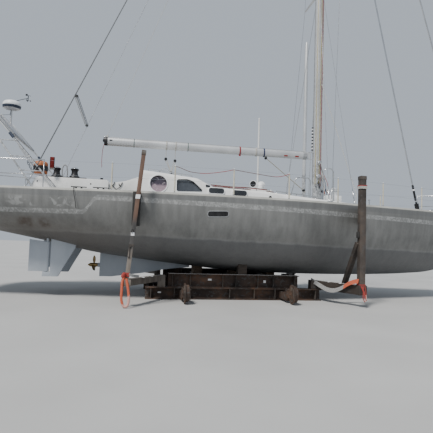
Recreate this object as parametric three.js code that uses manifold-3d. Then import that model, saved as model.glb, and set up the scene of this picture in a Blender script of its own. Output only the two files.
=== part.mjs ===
// A cruising sailing yacht of bare aluminium, about 17 m long, standing on its yard carriage. Millimetres.
// X runs forward, Y to port and Z up from the ground. The tables count X from the third stanchion on each
// side. The root group moves the model so that its origin is on the ground under the middle of its length.
import * as THREE from "three";
import { mergeVertices } from "three/addons/utils/BufferGeometryUtils.js";
import Module from "manifold-3d";

const wasm = await Module();
wasm.setup();

// Driving dimensions
const TRANSOM_X = -7500;
const STEM_X = 9300;
const MIDDLE_X = (TRANSOM_X + STEM_X) / 2;
const DECK_Z = 2720;
const TRANSOM_RAKE = 0.35; // forward shift for each unit of height
const RAKE_FADE_X = -6000; // forward of this the sections stand upright
const GAP = 0.3; // between pieces that rest on each other
const RUN = 5; // least clearance of a moving piece
const PIN_PLAY = 0.6; // radial play of a pin in its bore
const STOCK_PLAY = 1; // radial play of the rudder stocks and of the propeller shaft
const ROUND = 16; // sides of pins, bores and other small round bodies
const PAST = 9; // how far a cutting tool reaches past the body that it cuts
const FAR = 9999; // beyond the model on every side

// Hull stations, from the transom forward: x, half beam at the deck edge, height of the bottom
const STATIONS = [
  { x: TRANSOM_X, beam: 1600, bottom: 1935 },
  { x: -6600, beam: 1745, bottom: 1775 },
  { x: -5700, beam: 1855, bottom: 1610 },
  { x: -4600, beam: 1990, bottom: 1400 },
  { x: -3600, beam: 2130, bottom: 1185 },
  { x: -2400, beam: 2255, bottom: 1030 },
  { x: -1000, beam: 2340, bottom: 875 },
  { x: 500, beam: 2335, bottom: 735 },
  { x: 2000, beam: 2180, bottom: 690 },
  { x: 3500, beam: 1900, bottom: 680 },
  { x: 5000, beam: 1550, bottom: 700 },
  { x: 6300, beam: 1190, bottom: 755 },
  { x: 7300, beam: 880, bottom: 860 },
  { x: 8200, beam: 560, bottom: 1160 },
  { x: 8850, beam: 290, bottom: 1680 },
  { x: STEM_X, beam: 40, bottom: 2450 },
];
const HULL_RINGS = 33;
const RING_STEPS = 8; // points from the keel to the deck edge
const FULL_BILGE = 0.85; // exponents of the section curve, amidships and at the stem
const SHARP_BOW = 1.45;
const BOW_STARTS_X = 3000;

const COCKPIT = { x0: -4900, x1: -2310, halfY: 950, floor: 2200 };
const CABIN = { x0: -2220, x1: -560, halfY: 1250, floor: 1500 };
const DOOR = { x: [-2330, -2200], halfY: 330, sill: 2300, head: 3330, thick: 40, lap: 15, over: 10 };
const DOOR_HINGE = {
  x: -2345, y: 375, pinR: 10, reach: 50, rootX: -2305,
  lugZ: [2450, 3150], lugHeight: 60, lugHalf: 16,
  tabHalf: 8, tabHeight: 45, tabInner: 20, tabOuter: 4,
};

const KEEL = {
  thick: 220, top: 1500,
  // x and height of the lower edge, from the heel forward
  foot: [[-3400, 480], [-3070, 480], [-2760, 520], [-2100, 610], [-1660, 700], [-1270, 750], [-800, 800]],
};
const SHAFT = { z: 800, bossR: 60, shaftR: 25, bossEnd: -3460, bossRoot: 60, boreDepth: 90, reach: 80 };
const PROPELLER = {
  hubR: 55, hubLength: 200, noseR: 18, noseLength: 70,
  blades: 3, bladeR: 270, rootR: 40, bladeHalf: 85, bladeThick: 9, pitch: 35,
};
const RUDDER = {
  y: 900, stockX: -4700, noseR: 60, noseSteps: 8, tailX: -5160, tailHalf: 9,
  foot: 650, headNose: 1420, headTail: 1490, margin: 5,
  stockR: 35, stockFoot: 1380, stockTop: 1740, boreFoot: 1200, pintleR: 22, pintleZ: [580, 680],
};
const SKEG = {
  half: 55,
  outline: [[-4605, 520], [-4605, 1700], [-3900, 1700], [-3990, 1280], [-4250, 810], [-4400, 520]],
  heelX: [-4800, -4590], heelHalf: 48, heelZ: [520, 640], socketDepth: 70,
};

const HOUSE = {
  wall: 60, frontX: -430, frontRise: 40, lean: 110, cornice: 70, eave: 190, shoulder: 50, crown: 70,
};
const CORNICE_FOLLOWS = 0.3; // share of an inset by which the cornice inside comes down
// Doghouse stations: x, half width at the deck, height of the roof's edge
const HOUSE_STATIONS = [
  { x: -2310, half: 1640, roof: 3425 },
  { x: -1840, half: 1640, roof: 3385 },
  { x: -820, half: 1620, roof: 3290 },
  { x: -430, half: 1600, roof: 3100 },
];
const ROUND_WINDOW = { x: -1875, z: 3065, r: 225, sides: 24 };
const SIDE_WINDOW = [[-1395, 2880], [-1395, 3215], [-1090, 3240], [-940, 3185], [-690, 2965], [-700, 2905]];
const GLAZING = { thick: 10, x: [-2140, -640], y: [1280, 1700], z: [2800, 3310] };
const ROOF = { lean: 70, cornice: 50, eave: 130, crown: 20 };
// Coachroof stations: x, half width at the deck, height of the top
const ROOF_STATIONS = [
  { x: HOUSE.frontX + GAP, half: 1600, top: 3070 },
  { x: 1130, half: 1480, top: 3040 },
  { x: 2060, half: 1340, top: 2980 },
  { x: 2900, half: 1200, top: 2935 },
  { x: 3500, half: 1120, top: 2905 },
  { x: 4090, half: 1020, top: 2870 },
  { x: 4220, half: 980, top: 2780 },
];
// On each side a box carries the winches, and a panel closes the gap from it to the doghouse
const COAMING = {
  y0: 1330, boxY: 1620, panelY: 1400,
  box: [[-5100, DECK_Z], [-3160, DECK_Z], [-3160, 3040], [-3210, 3076], [-4830, 3080], [-4960, 3040]],
  panel: [
    [-3200, DECK_Z], [-2310.3, DECK_Z], [-2310.3, 3240], [-2440, 3220], [-2720, 3110], [-3050, 3040],
    [-3200, 3040],
  ],
  aftX: [-5060, -4920], aftTop: 3000, aftLap: 20,
};
const WINCH = {
  xs: [-4470, -4030], y: 1475, baseZ: 3080, plate: 140, plateTop: 12, sunk: 2,
  profile: [[0, 0], [135, 0], [125, 60], [85, 95], [77, 190], [105, 225], [105, 255], [40, 280], [0, 280]],
};
const PEDESTAL = {
  x: -3750, half: 90, bossR: 50, bossEnd: -3880, boreEnds: [-3890, -3810], axleZ: 2880,
  outline: [[-3870, COCKPIT.floor], [-3630, COCKPIT.floor], [-3660, 2980], [-3810, 2980], [-3840, 2920]],
};
const WHEEL = {
  x: -3930, r: 360, rimR: 14, rimSides: 6, rimSteps: 20,
  hubR: 45, hub: [-35, 45], spokes: 5, spokeR: 8, shaftR: 15, shaftReach: 110,
};

const STANCHION_XS = [-3050, -1500, 10, 1540, 3050, 4630, 6180];
const RAIL_TOP = 3450;
const LIFELINE_ZS = [3085, 3435];
const INBOARD = 70; // from the deck edge to the stanchions
const TUBE_R = 14;
const WIRE_R = 3;
const TOE = { outer: 5, inner: 45, height: 50 };
const SOCKET = { half: 25, reach: 40 };
const END_GAP = 22; // from a lifeline's end to the middle of the rail that it meets
const PUSHPIT = { x: -4700, bendX: -6000, corner: [-7080, 1480], gateY: 450 };
const PULPIT = {
  x: 7400, bend: [8500, 420], lowEnd: [8500, 380], foot: [8460, 330], stayFoot: [8900, 150],
  nose: [9130, 160], bendRise: 30, noseRise: 60,
};

const MAST = { x: 3240, half: 145, halfY: 95, foot: 3000, head: 21900 };
const MAST_STEP = { halfX: 230, halfY: 180, foot: 2740 };
const SPREADERS = [{ z: 10000, tip: 1400 }, { z: 15900, tip: 1000 }];
const ARM = { x: 3270, tipR: 32, rootR: 58, flat: 0.4, sides: 8, short: 60, root: 40 };
const CRANE = { x: 2660, bottom: 21820, half: 60 };
const GOOSE = {
  x: 2960, pinR: 14, lugs: [4330, 4550], lugThick: 16, lugReach: 34, lugHalf: 30,
  tongueRoot: 60, tongueHalf: 28,
};
const BOOM = { front: 2870, end: -3430, z: 4440, half: 125, halfY: 75, sides: 14 };
const LIFT = { x: -3370, r: 5, footHalf: 20, footHalfY: 12, footRise: 60, drop: 60 };
const SHEET = {
  xs: [-1600, -1350], footX: [-1530, -1370], foot: 3560, footTop: 3650, footHalf: 35,
  block: [30, 16, 130], fallR: 18, fallTop: 40, fallEnds: [-1495, -1405], fallFoot: 3620, sides: 8,
};
const STAY_R = 8;
const FOIL_R = 24;
const TACK = { x: [-45, 60], halfY: 16, rise: 90, stayRise: 60, drumZ: [2920, 3080], drumSides: 12 };
const STAY_LUG = { past: 14, halfY: 12, below: 60, above: 20 };
const FORESTAY = { foot: [9120, 2790], head: [3420, 21700], drumR: 90 };
const INNER_STAY = { foot: [6860, 2790], head: [3420, 17600], drumR: 70 };
const BACKSTAY = {
  foot: [-5150, 1700], head: [2700, 35, 21700], plateX: 50, plateY: 20, plateRise: 70, footRise: 50,
  toggleX: 20, toggleY: 15, toggleDrop: 40,
};
const SHROUD = {
  capX: 2870, aftX: 2790, foreX: 3650, inboard: 130, sides: 5, footRise: 40,
  offMast: 14, lowerX: 50, lowerDrop: 160, tipGap: 12,
  capTop: 21700, plateEnd: 60, plateWide: 60, plateDeep: 20, plateRise: 30, tangHalf: 70, tangThick: 8,
  tangZ: [[21650, 21750], [9780, 9860]],
};
const STOWED_POLE = {
  x: 3420, y: 1560,
  profile: [[0, 0], [90, 0], [90, 20], [41, 60], [68, 200], [68, 6040], [37, 6240], [0, 6240]],
};
const DECK_POLE = {
  x: 1840, y: 2030, profile: [[0, 0], [60, 0], [60, 12], [34, 30], [34, 3400], [41, 3430], [0, 3430]],
};
const MAST_RAIL = {
  foot: 2850, bend: 80, r: 16,
  starboard: { x: [3080, 3400], rake: 0, y: -880, z: 3900 },
  port: { x: [2780, 3320], rake: 240, y: 720, z: 3840 },
};
const VENT_BOX = { x: [760, 1480], y: -600, half: 230, foot: 2960, top: 3165 };
const COWLS = [{ x: 1000, r: 95, way: [-0.5, -0.85] }, { x: 1250, r: 100, way: [0.9, -0.3] }];
// Shares of a cowl's radius, then heights from the top of the box
const COWL = {
  neck: 0.75, throat: 0.95, mouth: 1.1, reach: 1.15,
  sunk: 20, rise: 150, throatRise: 155, mouthRise: 165,
};
const CAPSULE = {
  x: 3500, y: -700, z: 2850, base: [3230, 3690, -840, -560], baseTop: 3100,
  profile: [[0, 0], [93, 0], [93, 390], [105, 405], [105, 450], [60, 490], [0, 500]],
};
const WINDLASS = {
  x: 7520, baseX: 150, baseY: 110, baseTop: 60, bodyX: 70, bodyY: 80, bodyZ: [50, 190],
  drumR: 75, drumHalf: 190, drumZ: 130,
};
const RADOME = {
  x: -6060, z: 5150,
  profile: [[0, 0], [120, 0], [225, 35], [245, 90], [245, 150], [215, 225], [110, 262], [0, 270]],
};
const REEL = {
  x: -5180,
  profile: [
    [0, 0], [70, 0], [70, 14], [38, 30], [38, 605], [200, 615], [205, 695], [180, 715], [180, 845],
    [205, 865], [200, 935], [120, 995], [0, 1010],
  ],
};
// Stern gantry, raked aft like a ladder on each side
const GANTRY = {
  r: 24, barR: 20, rungR: 14, spineR: 16, poleR: 26, rungs: [3190, 3540, 3940],
  top: [-6330, 1500, 4930], foreFoot: [-4370, 1800], aftFoot: [-4930, 1800], knee: [-6180, 1540, 4390],
  bars: [{ x: -6330, z: 4930, half: 1500 }, { x: -5720, z: 4235, half: 1597.6 }],
  poleX: -6060, poleFoot: 4620,
};
const PANEL = { halfY: 1150, thick: 34, over: 50, notch: [-6500, -6020, -45, 45, 4000, 5200] };

const BEAM_Y = 1200;
const LOWER_BEAM = { x0: -2100, x1: 2870, half: 150, z0: 0, z1: 320 };
const UPPER_BEAM = { x0: -1500, x1: 2200, half: 130, z0: 320.3, z1: 690 };
const FLANGE = 24;
const WEB = 14;
const WHEEL_XS = [-1100, 1720];
const RAIL_WHEEL = { y: 2200, z: 262, flangeR: 257, treadR: 215, half: 55, axleR: 25 };
const WHEEL_DISC = { flange: 22, axleHalf: 110, sides: 20 };
const FORK = { gap: 62, thick: 20, inner: 1780, outer: 2330, z0: 150, z1: 380 };
const LOWER_CROSS = { half: 84, reach: 1900, z: [60, 250] };
const UPPER_CROSS = { half: 110, z: [380, 600] };
const KEEL_BLOCK = { xs: [-560, 560, 1680], halfX: 130, halfY: 260, top: 1000 };
const BILGE_BLOCK = { x: [420, 670], half: 120, top: 1300 };
const POSTS = [
  {
    end: "aft", foot: [-2580, 2750, 480], head: [-2295, 2600, 3710], width: 100,
    innerX: -1640, armZ: [480, 640], pads: [{ half: 95, z: [1900, 2700] }], skew: 0,
  },
  {
    end: "fore", foot: [3400, 2600, 350], head: [3400, 2600, 3430], width: 155,
    innerX: 2700, armZ: [322, 570], pads: [{ half: 60, z: [2180, 2660] }], skew: 0.55,
    brace: { wide: 120, top: 1670, aft: [60, 120], inward: [60, 680], sunk: 20 },
  },
];
const ARM_WIDE = 130;
const ARM_END = 0.92; // where an arm ends, as a share of the way out to the beam
const ARM_FOOT = 110; // half width of the box at a post's foot
const PACKER = { aft: 130, fore: 60, half: 120 };
// A pad is centred on its post at this height, and goes forward by the skew for each unit inward
const PAD = { z: 2300, reach: 900 };

// Colours by material: colour, roughness, metalness
const FINISH = {
  hull: [0x8b8c8a, 0.55, 0.7], keel: [0x9fb0bb, 0.6, 0.2], white: [0xe9e9e4, 0.5, 0.0],
  glass: [0x30363c, 0.1, 0.1], black: [0x16171a, 0.5, 0.2], steel: [0xc9ccce, 0.3, 0.9],
  spar: [0xd9dcde, 0.4, 0.6], rope: [0xd8d2bd, 0.9, 0.0], bronze: [0xa07b3c, 0.4, 0.9],
  solar: [0x141c33, 0.2, 0.2], reel: [0xc4642a, 0.6, 0.0], rust: [0x5a4436, 0.9, 0.3],
  beam: [0x6d6762, 0.85, 0.4], timber: [0x8d6b49, 0.9, 0.0], radome: [0xe4e7ea, 0.4, 0.0],
};

// A closed three.js geometry as a solid
function solid(geometry) {
  geometry.deleteAttribute("normal");
  geometry.deleteAttribute("uv");
  const merged = mergeVertices(geometry, 1e-3);
  return new wasm.Manifold(new wasm.Mesh({
    numProp: 3,
    vertProperties: merged.attributes.position.array,
    triVerts: new Uint32Array(merged.index.array),
  }));
}

const join = (solids) => solids.reduce((a, b) => a.add(b));
const mirrored = (shape) => shape.mirror([0, 1, 0]);
const bothSides = (make) => [["starboard", make(-1)], ["port", make(1)]];

function box(x0, x1, y0, y1, z0, z1) {
  const geometry = new THREE.BoxGeometry(x1 - x0, y1 - y0, z1 - z0);
  geometry.translate((x0 + x1) / 2, (y0 + y1) / 2, (z0 + z1) / 2);
  return solid(geometry);
}

// Turns a geometry whose long axis is +Z so that it runs from p to q, its own Y kept as upright as can be
function alongLine(geometry, p, q) {
  const a = new THREE.Vector3(...p);
  const b = new THREE.Vector3(...q);
  const way = b.clone().sub(a).normalize();
  const hint = Math.abs(way.z) > 0.9 ? new THREE.Vector3(0, 1, 0) : new THREE.Vector3(0, 0, 1);
  const across = hint.cross(way).normalize();
  const up = way.clone().cross(across);
  geometry.applyMatrix4(new THREE.Matrix4().makeBasis(across, up, way));
  const middle = a.add(b).multiplyScalar(0.5);
  geometry.translate(middle.x, middle.y, middle.z);
  return solid(geometry);
}

const span = (p, q) => new THREE.Vector3(...p).distanceTo(new THREE.Vector3(...q));

function rod(p, q, r, sides = 6, r2 = r) {
  const geometry = new THREE.CylinderGeometry(r2, r, span(p, q), sides);
  geometry.rotateX(Math.PI / 2);
  return alongLine(geometry, p, q);
}

// A turned body on a vertical axis
function turned(x, y, z, profile, sides = 14) {
  const geometry = new THREE.LatheGeometry(profile.map(([r, h]) => new THREE.Vector2(r, h)), sides);
  geometry.rotateX(Math.PI / 2);
  geometry.translate(x, y, z);
  return solid(geometry);
}

function beam(p, q, wide, deep) {
  return alongLine(new THREE.BoxGeometry(wide, deep, span(p, q)), p, q);
}

function prism(points, depth) {
  const outline = new THREE.Shape(points.map(([a, b]) => new THREE.Vector2(a, b)));
  return new THREE.ExtrudeGeometry(outline, { depth, bevelEnabled: false });
}

// An outline in X and Z, from y0 to y1
function plateXZ(points, y0, y1) {
  const geometry = prism(points, y1 - y0);
  geometry.rotateX(Math.PI / 2);
  geometry.translate(0, y1, 0);
  return solid(geometry);
}

// An outline in X and Y, from z0 to z1
function plateXY(points, z0, z1) {
  const geometry = prism(points, z1 - z0);
  geometry.translate(0, 0, z0);
  return solid(geometry);
}

// An outline in Y and Z, from x0 to x1
function plateYZ(points, x0, x1) {
  const geometry = prism(points, x1 - x0);
  const basis = new THREE.Matrix4().makeBasis(
    new THREE.Vector3(0, 1, 0), new THREE.Vector3(0, 0, 1), new THREE.Vector3(1, 0, 0));
  geometry.applyMatrix4(basis);
  geometry.translate(x0, 0, 0);
  return solid(geometry);
}

// Rings of points, each counter-clockwise seen from the bow, skinned and capped from the stern forward
function loft(rings) {
  const count = rings[0].length;
  const positions = rings.flat(2);
  const faces = [];
  for (let i = 0; i < rings.length - 1; i++)
    for (let j = 0; j < count; j++) {
      const k = (j + 1) % count;
      const a = i * count;
      const b = a + count;
      faces.push(a + j, a + k, b + k, a + j, b + k, b + j);
    }
  const last = (rings.length - 1) * count;
  for (const [start, flip] of [[0, true], [last, false]]) {
    const ring = rings[start / count];
    const centre = [0, 1, 2].map((axis) => ring.reduce((sum, p) => sum + p[axis], 0) / count);
    const hub = positions.length / 3;
    positions.push(...centre);
    for (let j = 0; j < count; j++) {
      const k = (j + 1) % count;
      faces.push(hub, start + (flip ? k : j), start + (flip ? j : k));
    }
  }
  const geometry = new THREE.BufferGeometry();
  geometry.setAttribute("position", new THREE.Float32BufferAttribute(positions, 3));
  geometry.setIndex(faces);
  return solid(geometry);
}

// A tube through some points, mitred at each corner
function bentTube(points, r, sides = 6) {
  const stops = points.map((p) => new THREE.Vector3(...p));
  const ways = stops.slice(1).map((q, i) => q.clone().sub(stops[i]).normalize());
  const hint = Math.abs(ways[0].z) > 0.9 ? new THREE.Vector3(0, 1, 0) : new THREE.Vector3(0, 0, 1);
  const across = hint.cross(ways[0]).normalize();
  const up = ways[0].clone().cross(across);
  let spread = Array.from({ length: sides }, (_, j) => {
    const a = ((j + 0.5) * 2 * Math.PI) / sides;
    return across.clone().multiplyScalar(r * Math.cos(a)).addScaledVector(up, r * Math.sin(a));
  });
  return loft(stops.map((centre, i) => {
    const before = ways[Math.max(0, i - 1)];
    const after = ways[Math.min(ways.length - 1, i)];
    const facing = before.clone().add(after).normalize();
    const ring = spread.map((v) => v.clone().addScaledVector(before, -v.dot(facing) / before.dot(facing)));
    spread = ring.map((v) => v.clone().addScaledVector(after, -v.dot(after)));
    return ring.map((v) => v.add(centre).toArray());
  }));
}

// A ring that mirrors about the centreline, from a half section that starts at its lower edge
const fullRing = (half) => [...half, ...half.slice().reverse().map(([x, y, z]) => [x, -y, z])];
// The same for a half section that ends on the centreline, whose last point both sides share
const crownedRing = (half) => fullRing(half).toSpliced(half.length - 1, 1);

// Hull
const hullCurve = new THREE.CatmullRomCurve3(STATIONS.map((s) => new THREE.Vector3(s.x, s.beam, s.bottom)));

function hullHalf(x, halfBeam, bottom) {
  const bow = THREE.MathUtils.smoothstep(x, BOW_STARTS_X, STEM_X);
  const power = THREE.MathUtils.lerp(FULL_BILGE, SHARP_BOW, bow);
  const upright = THREE.MathUtils.clamp((x - TRANSOM_X) / (RAKE_FADE_X - TRANSOM_X), 0, 1);
  return Array.from({ length: RING_STEPS + 1 }, (_, k) => {
    const angle = (k / RING_STEPS) * (Math.PI / 2);
    const rise = (DECK_Z - bottom) * (1 - Math.cos(angle) ** FULL_BILGE);
    return [x + (1 - upright) * TRANSOM_RAKE * rise, halfBeam * Math.sin(angle) ** power, bottom + rise];
  });
}

const hullHalves = Array.from({ length: HULL_RINGS }, (_, i) => {
  const { x, y, z } = hullCurve.getPoint(i / (HULL_RINGS - 1));
  return hullHalf(x, y, z);
});
// The keel point is shared by both sides, so the mirrored half leaves it out
const bareHull = loft(hullHalves.map((half) => fullRing(half).slice(0, -1)));
const deckEdge = hullHalves.map((half) => half.at(-1));

function edgeY(x) {
  const i = Math.max(1, deckEdge.findIndex(([ex]) => ex >= x));
  const [[ax, ay], [bx, by]] = [deckEdge[i - 1], deckEdge[i]];
  return ay + ((by - ay) * (x - ax)) / (bx - ax);
}

// A hatch with its frame, lid and hinge along its forward edge
const HATCH = {
  frame: 40, frameDepth: 100, lid: 30, lap: 10, pinR: 8, pinHalf: 200, hingeGap: 34,
  lugs: [-150, 150], lugHalf: 16, eyeHalf: 14, lugDrop: 12,
  tabs: [-100, 100], tabHalf: 20, tabBelow: 4, tabAbove: 8, tabFore: 6, backGap: 4,
};
const HATCHES = {
  fore_hatch: { x0: 4780, x1: 5260, halfY: 240, z: DECK_Z + 60, floor: 2250 },
  saloon_hatch: { x0: 1700, x1: 2140, halfY: 220, z: 3050, floor: 2780 },
};
const hatchAxis = (h) => ({ x: h.x1 + HATCH.frame + HATCH.hingeGap, z: h.z + HATCH.lid / 2 });

function hatchFrame(h, bottom) {
  const axis = hatchAxis(h);
  const outer = h.halfY + HATCH.frame;
  const lugs = HATCH.lugs.map((y) => {
    const sides = [y - HATCH.lugHalf, y + HATCH.lugHalf, bottom];
    return join([
      box(h.x1, axis.x + HATCH.eyeHalf, ...sides, h.z - HATCH.lugDrop),
      box(axis.x - HATCH.eyeHalf, axis.x + HATCH.eyeHalf, ...sides, axis.z + HATCH.eyeHalf),
    ]);
  });
  const bore = rod([axis.x, -outer, axis.z], [axis.x, outer, axis.z], HATCH.pinR + PIN_PLAY, ROUND);
  return join([box(h.x0 - HATCH.frame, h.x1 + HATCH.frame, -outer, outer, bottom, h.z), ...lugs])
    .subtract(bore)
    .subtract(wellOf(h));
}

function hatchLid(h) {
  const axis = hatchAxis(h);
  const outer = h.halfY + HATCH.frame + HATCH.lap;
  const back = h.x1 + HATCH.frame - HATCH.backGap;
  const low = h.z + GAP;
  const tabs = HATCH.tabs.map((y) => box(back - HATCH.backGap, axis.x + HATCH.tabFore, y - HATCH.tabHalf,
    y + HATCH.tabHalf, low + HATCH.tabBelow, axis.z + HATCH.tabAbove));
  return join([
    box(h.x0 - HATCH.frame - HATCH.lap, back, -outer, outer, low, low + HATCH.lid),
    rod([axis.x, -HATCH.pinHalf, axis.z], [axis.x, HATCH.pinHalf, axis.z], HATCH.pinR, ROUND),
    ...tabs,
  ]);
}

function wellOf(h) {
  return box(h.x0, h.x1, -h.halfY, h.halfY, h.floor, h.z + PAST);
}

const doorway = box(...DOOR.x, -DOOR.halfY, DOOR.halfY, DOOR.sill, DOOR.head);

function doorLug(z) {
  const h = DOOR_HINGE;
  const top = z + h.lugHeight;
  return box(h.x - h.lugHalf, h.rootX, h.y - h.lugHalf, h.y + h.lugHalf, z, top)
    .subtract(rod([h.x, h.y, z - PAST], [h.x, h.y, top + PAST], h.pinR + PIN_PLAY, ROUND));
}

const belowDeck = box(-FAR, FAR, -FAR, FAR, 0, DECK_Z + GAP);

function makeHull() {
  const stocks = [-1, 1].map((s) => rod(
    [RUDDER.stockX, s * RUDDER.y, RUDDER.boreFoot], [RUDDER.stockX, s * RUDDER.y, RUDDER.stockTop + RUN],
    RUDDER.stockR + STOCK_PLAY, ROUND));
  return join([bareHull, hatchFrame(HATCHES.fore_hatch, DECK_Z - HATCH.frameDepth)])
    .subtract(wellOf(HATCHES.fore_hatch))
    .subtract(box(COCKPIT.x0, COCKPIT.x1, -COCKPIT.halfY, COCKPIT.halfY, COCKPIT.floor, DECK_Z + PAST))
    .subtract(box(CABIN.x0, CABIN.x1, -CABIN.halfY, CABIN.halfY, CABIN.floor, DECK_Z + PAST))
    .subtract(doorway)
    .subtract(join(stocks))
    .add(doorLug(DOOR_HINGE.lugZ[0]));
}

const hullBelow = bareHull.translate([0, 0, -GAP]);

function makeKeel() {
  const [heelX] = KEEL.foot[0];
  const [toeX] = KEEL.foot.at(-1);
  const side = [...KEEL.foot, [toeX, KEEL.top], [heelX, KEEL.top]];
  const fin = plateXZ(side, -KEEL.thick / 2, KEEL.thick / 2);
  const boss = rod([SHAFT.bossEnd, 0, SHAFT.z], [heelX + SHAFT.bossRoot, 0, SHAFT.z], SHAFT.bossR, ROUND);
  const bore = rod([SHAFT.bossEnd - PAST, 0, SHAFT.z], [SHAFT.bossEnd + SHAFT.boreDepth, 0, SHAFT.z],
    SHAFT.shaftR + STOCK_PLAY, ROUND);
  return join([fin, boss]).subtract(bore).subtract(hullBelow);
}

function makePropeller() {
  const p = PROPELLER;
  const front = SHAFT.bossEnd - RUN;
  const back = front - p.hubLength;
  const hub = rod([back, 0, SHAFT.z], [front, 0, SHAFT.z], p.hubR, ROUND);
  const nose = rod([back - p.noseLength, 0, SHAFT.z], [back, 0, SHAFT.z], p.noseR, ROUND, p.hubR);
  const { z, shaftR, bossEnd, reach } = SHAFT;
  const shaft = rod([front - PAST, 0, z], [bossEnd + reach, 0, z], shaftR, ROUND);
  const blade = new THREE.SphereGeometry(1, 8, 6);
  blade.scale(p.bladeThick, p.bladeHalf, (p.bladeR - p.rootR) / 2);
  blade.rotateZ(THREE.MathUtils.degToRad(p.pitch));
  blade.translate((front + back) / 2, 0, (p.bladeR + p.rootR) / 2);
  const blades = Array.from({ length: p.blades }, (_, i) => {
    const turned = blade.clone();
    turned.rotateX((i * 2 * Math.PI) / p.blades);
    turned.translate(0, 0, SHAFT.z);
    return solid(turned);
  });
  return join([hub, nose, shaft, ...blades]);
}

function makeRudder(side) {
  const r = RUDDER;
  const y = side * r.y;
  const nose = Array.from({ length: r.noseSteps + 1 }, (_, i) => {
    const a = -Math.PI / 2 + (i * Math.PI) / r.noseSteps;
    return [r.stockX + r.noseR * Math.cos(a), y + r.noseR * Math.sin(a)];
  });
  const plan = [...nose, [r.tailX, y + r.tailHalf], [r.tailX, y - r.tailHalf]];
  const front = r.stockX + r.noseR + r.margin;
  const back = r.tailX - r.margin;
  const profile = plateXZ([[back, r.foot], [front, r.foot], [front, r.headNose], [back, r.headTail]],
    y - r.noseR - r.margin, y + r.noseR + r.margin);
  const stock = rod([r.stockX, y, r.stockFoot], [r.stockX, y, r.stockTop], r.stockR, ROUND);
  const pintle = rod([r.stockX, y, r.pintleZ[0]], [r.stockX, y, r.pintleZ[1]], r.pintleR, ROUND);
  return join([plateXY(plan, r.foot, r.headTail).intersect(profile), stock, pintle]);
}

function makeSkeg(side) {
  const y = side * RUDDER.y;
  const heelTop = SKEG.heelZ[1];
  const blade = plateXZ(SKEG.outline, y - SKEG.half, y + SKEG.half);
  const heel = box(...SKEG.heelX, y - SKEG.heelHalf, y + SKEG.heelHalf, ...SKEG.heelZ);
  const socket = rod([RUDDER.stockX, y, heelTop - SKEG.socketDepth], [RUDDER.stockX, y, heelTop + PAST],
    RUDDER.pintleR + STOCK_PLAY, ROUND);
  return join([blade, heel]).subtract(socket).subtract(hullBelow);
}

// Doghouse and coachroof
function houseHalf(x, half, roof, inset) {
  const floor = inset ? DECK_Z - PAST : DECK_Z;
  return [
    [x, half - inset, floor],
    [x, half - HOUSE.lean - inset, roof - HOUSE.cornice - inset * CORNICE_FOLLOWS],
    [x, half - HOUSE.eave - inset, roof - inset],
    [x, half / 2, roof + HOUSE.shoulder - inset],
    [x, 0, roof + HOUSE.crown - inset],
  ];
}

function houseBody(stations, inset) {
  return loft(stations.map((s) => crownedRing(houseHalf(s.x, s.half, s.roof, inset))));
}

// The room inside the doghouse, its walls drawn in by a distance
function room(inset) {
  const inner = HOUSE_STATIONS.map((s) => ({ ...s }));
  inner[0].x += HOUSE.wall;
  inner.at(-1).x -= HOUSE.wall * 2;
  inner.at(-1).roof += HOUSE.frontRise;
  return houseBody(inner, inset);
}

function makeHouse() {
  const { x, z, r, sides } = ROUND_WINDOW;
  return houseBody(HOUSE_STATIONS, 0)
    .subtract(room(HOUSE.wall))
    .subtract(doorway)
    .subtract(rod([x, -FAR, z], [x, FAR, z], r, sides))
    .subtract(plateXZ(SIDE_WINDOW, -FAR, FAR))
    .add(doorLug(DOOR_HINGE.lugZ[1]));
}

// One sheet of glazing behind both side windows, bent to the wall inside
function makeGlazing(side) {
  const sheet = room(HOUSE.wall + GAP).subtract(room(HOUSE.wall + GAP + GLAZING.thick))
    .intersect(box(...GLAZING.x, ...GLAZING.y, ...GLAZING.z));
  return side > 0 ? sheet : mirrored(sheet);
}

function makeDoor() {
  const h = DOOR_HINGE;
  const halfY = DOOR.halfY + DOOR.lap;
  const front = HOUSE_STATIONS[0].x - RUN;
  const leaf = box(front - DOOR.thick, front, -halfY, halfY, DOOR.sill - DOOR.over, DOOR.head + DOOR.over);
  const parts = h.lugZ.flatMap((z) => {
    const [low, high] = [z - h.reach, z + h.lugHeight];
    const pin = rod([h.x, h.y, low], [h.x, h.y, high + h.reach], h.pinR, ROUND);
    const tabs = [low, high + RUN].map((foot) => box(h.x - h.tabHalf, h.x + h.tabHalf, halfY - h.tabInner,
      h.y + h.tabOuter, foot, foot + h.tabHeight));
    return [pin, ...tabs];
  });
  return join([leaf, ...parts]);
}

function roofHalf(x, half, top) {
  const { lean, cornice, eave, crown } = ROOF;
  return [[x, half, DECK_Z], [x, half - lean, top - cornice], [x, half - eave, top], [x, 0, top + crown]];
}

function makeRoof() {
  const body = loft(ROOF_STATIONS.map((s) => crownedRing(roofHalf(s.x, s.half, s.top))));
  const h = HATCHES.saloon_hatch;
  const { halfX, halfY, foot } = MAST_STEP;
  const step = box(MAST.x - halfX, MAST.x + halfX, -halfY, halfY, foot, MAST.foot - GAP);
  return join([body, hatchFrame(h, DECK_Z + HATCH.frameDepth), step]).subtract(wellOf(h));
}

function makeCoaming() {
  const { y0, boxY, panelY, aftX, aftTop, aftLap } = COAMING;
  const port = join([plateXZ(COAMING.box, y0, boxY), plateXZ(COAMING.panel, y0, panelY)]);
  const aft = box(...aftX, -y0 - aftLap, y0 + aftLap, DECK_Z, aftTop);
  return join([port, mirrored(port), aft]);
}

function makeWinches(side) {
  const w = WINCH;
  const y = side * w.y;
  const [aft, fore] = w.xs;
  const top = w.baseZ + w.plateTop;
  const plate = box(aft - w.plate, fore + w.plate, y - w.plate, y + w.plate, w.baseZ + GAP, top);
  return join([plate, ...w.xs.map((x) => turned(x, y, top - w.sunk, w.profile, 12))]);
}

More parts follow.
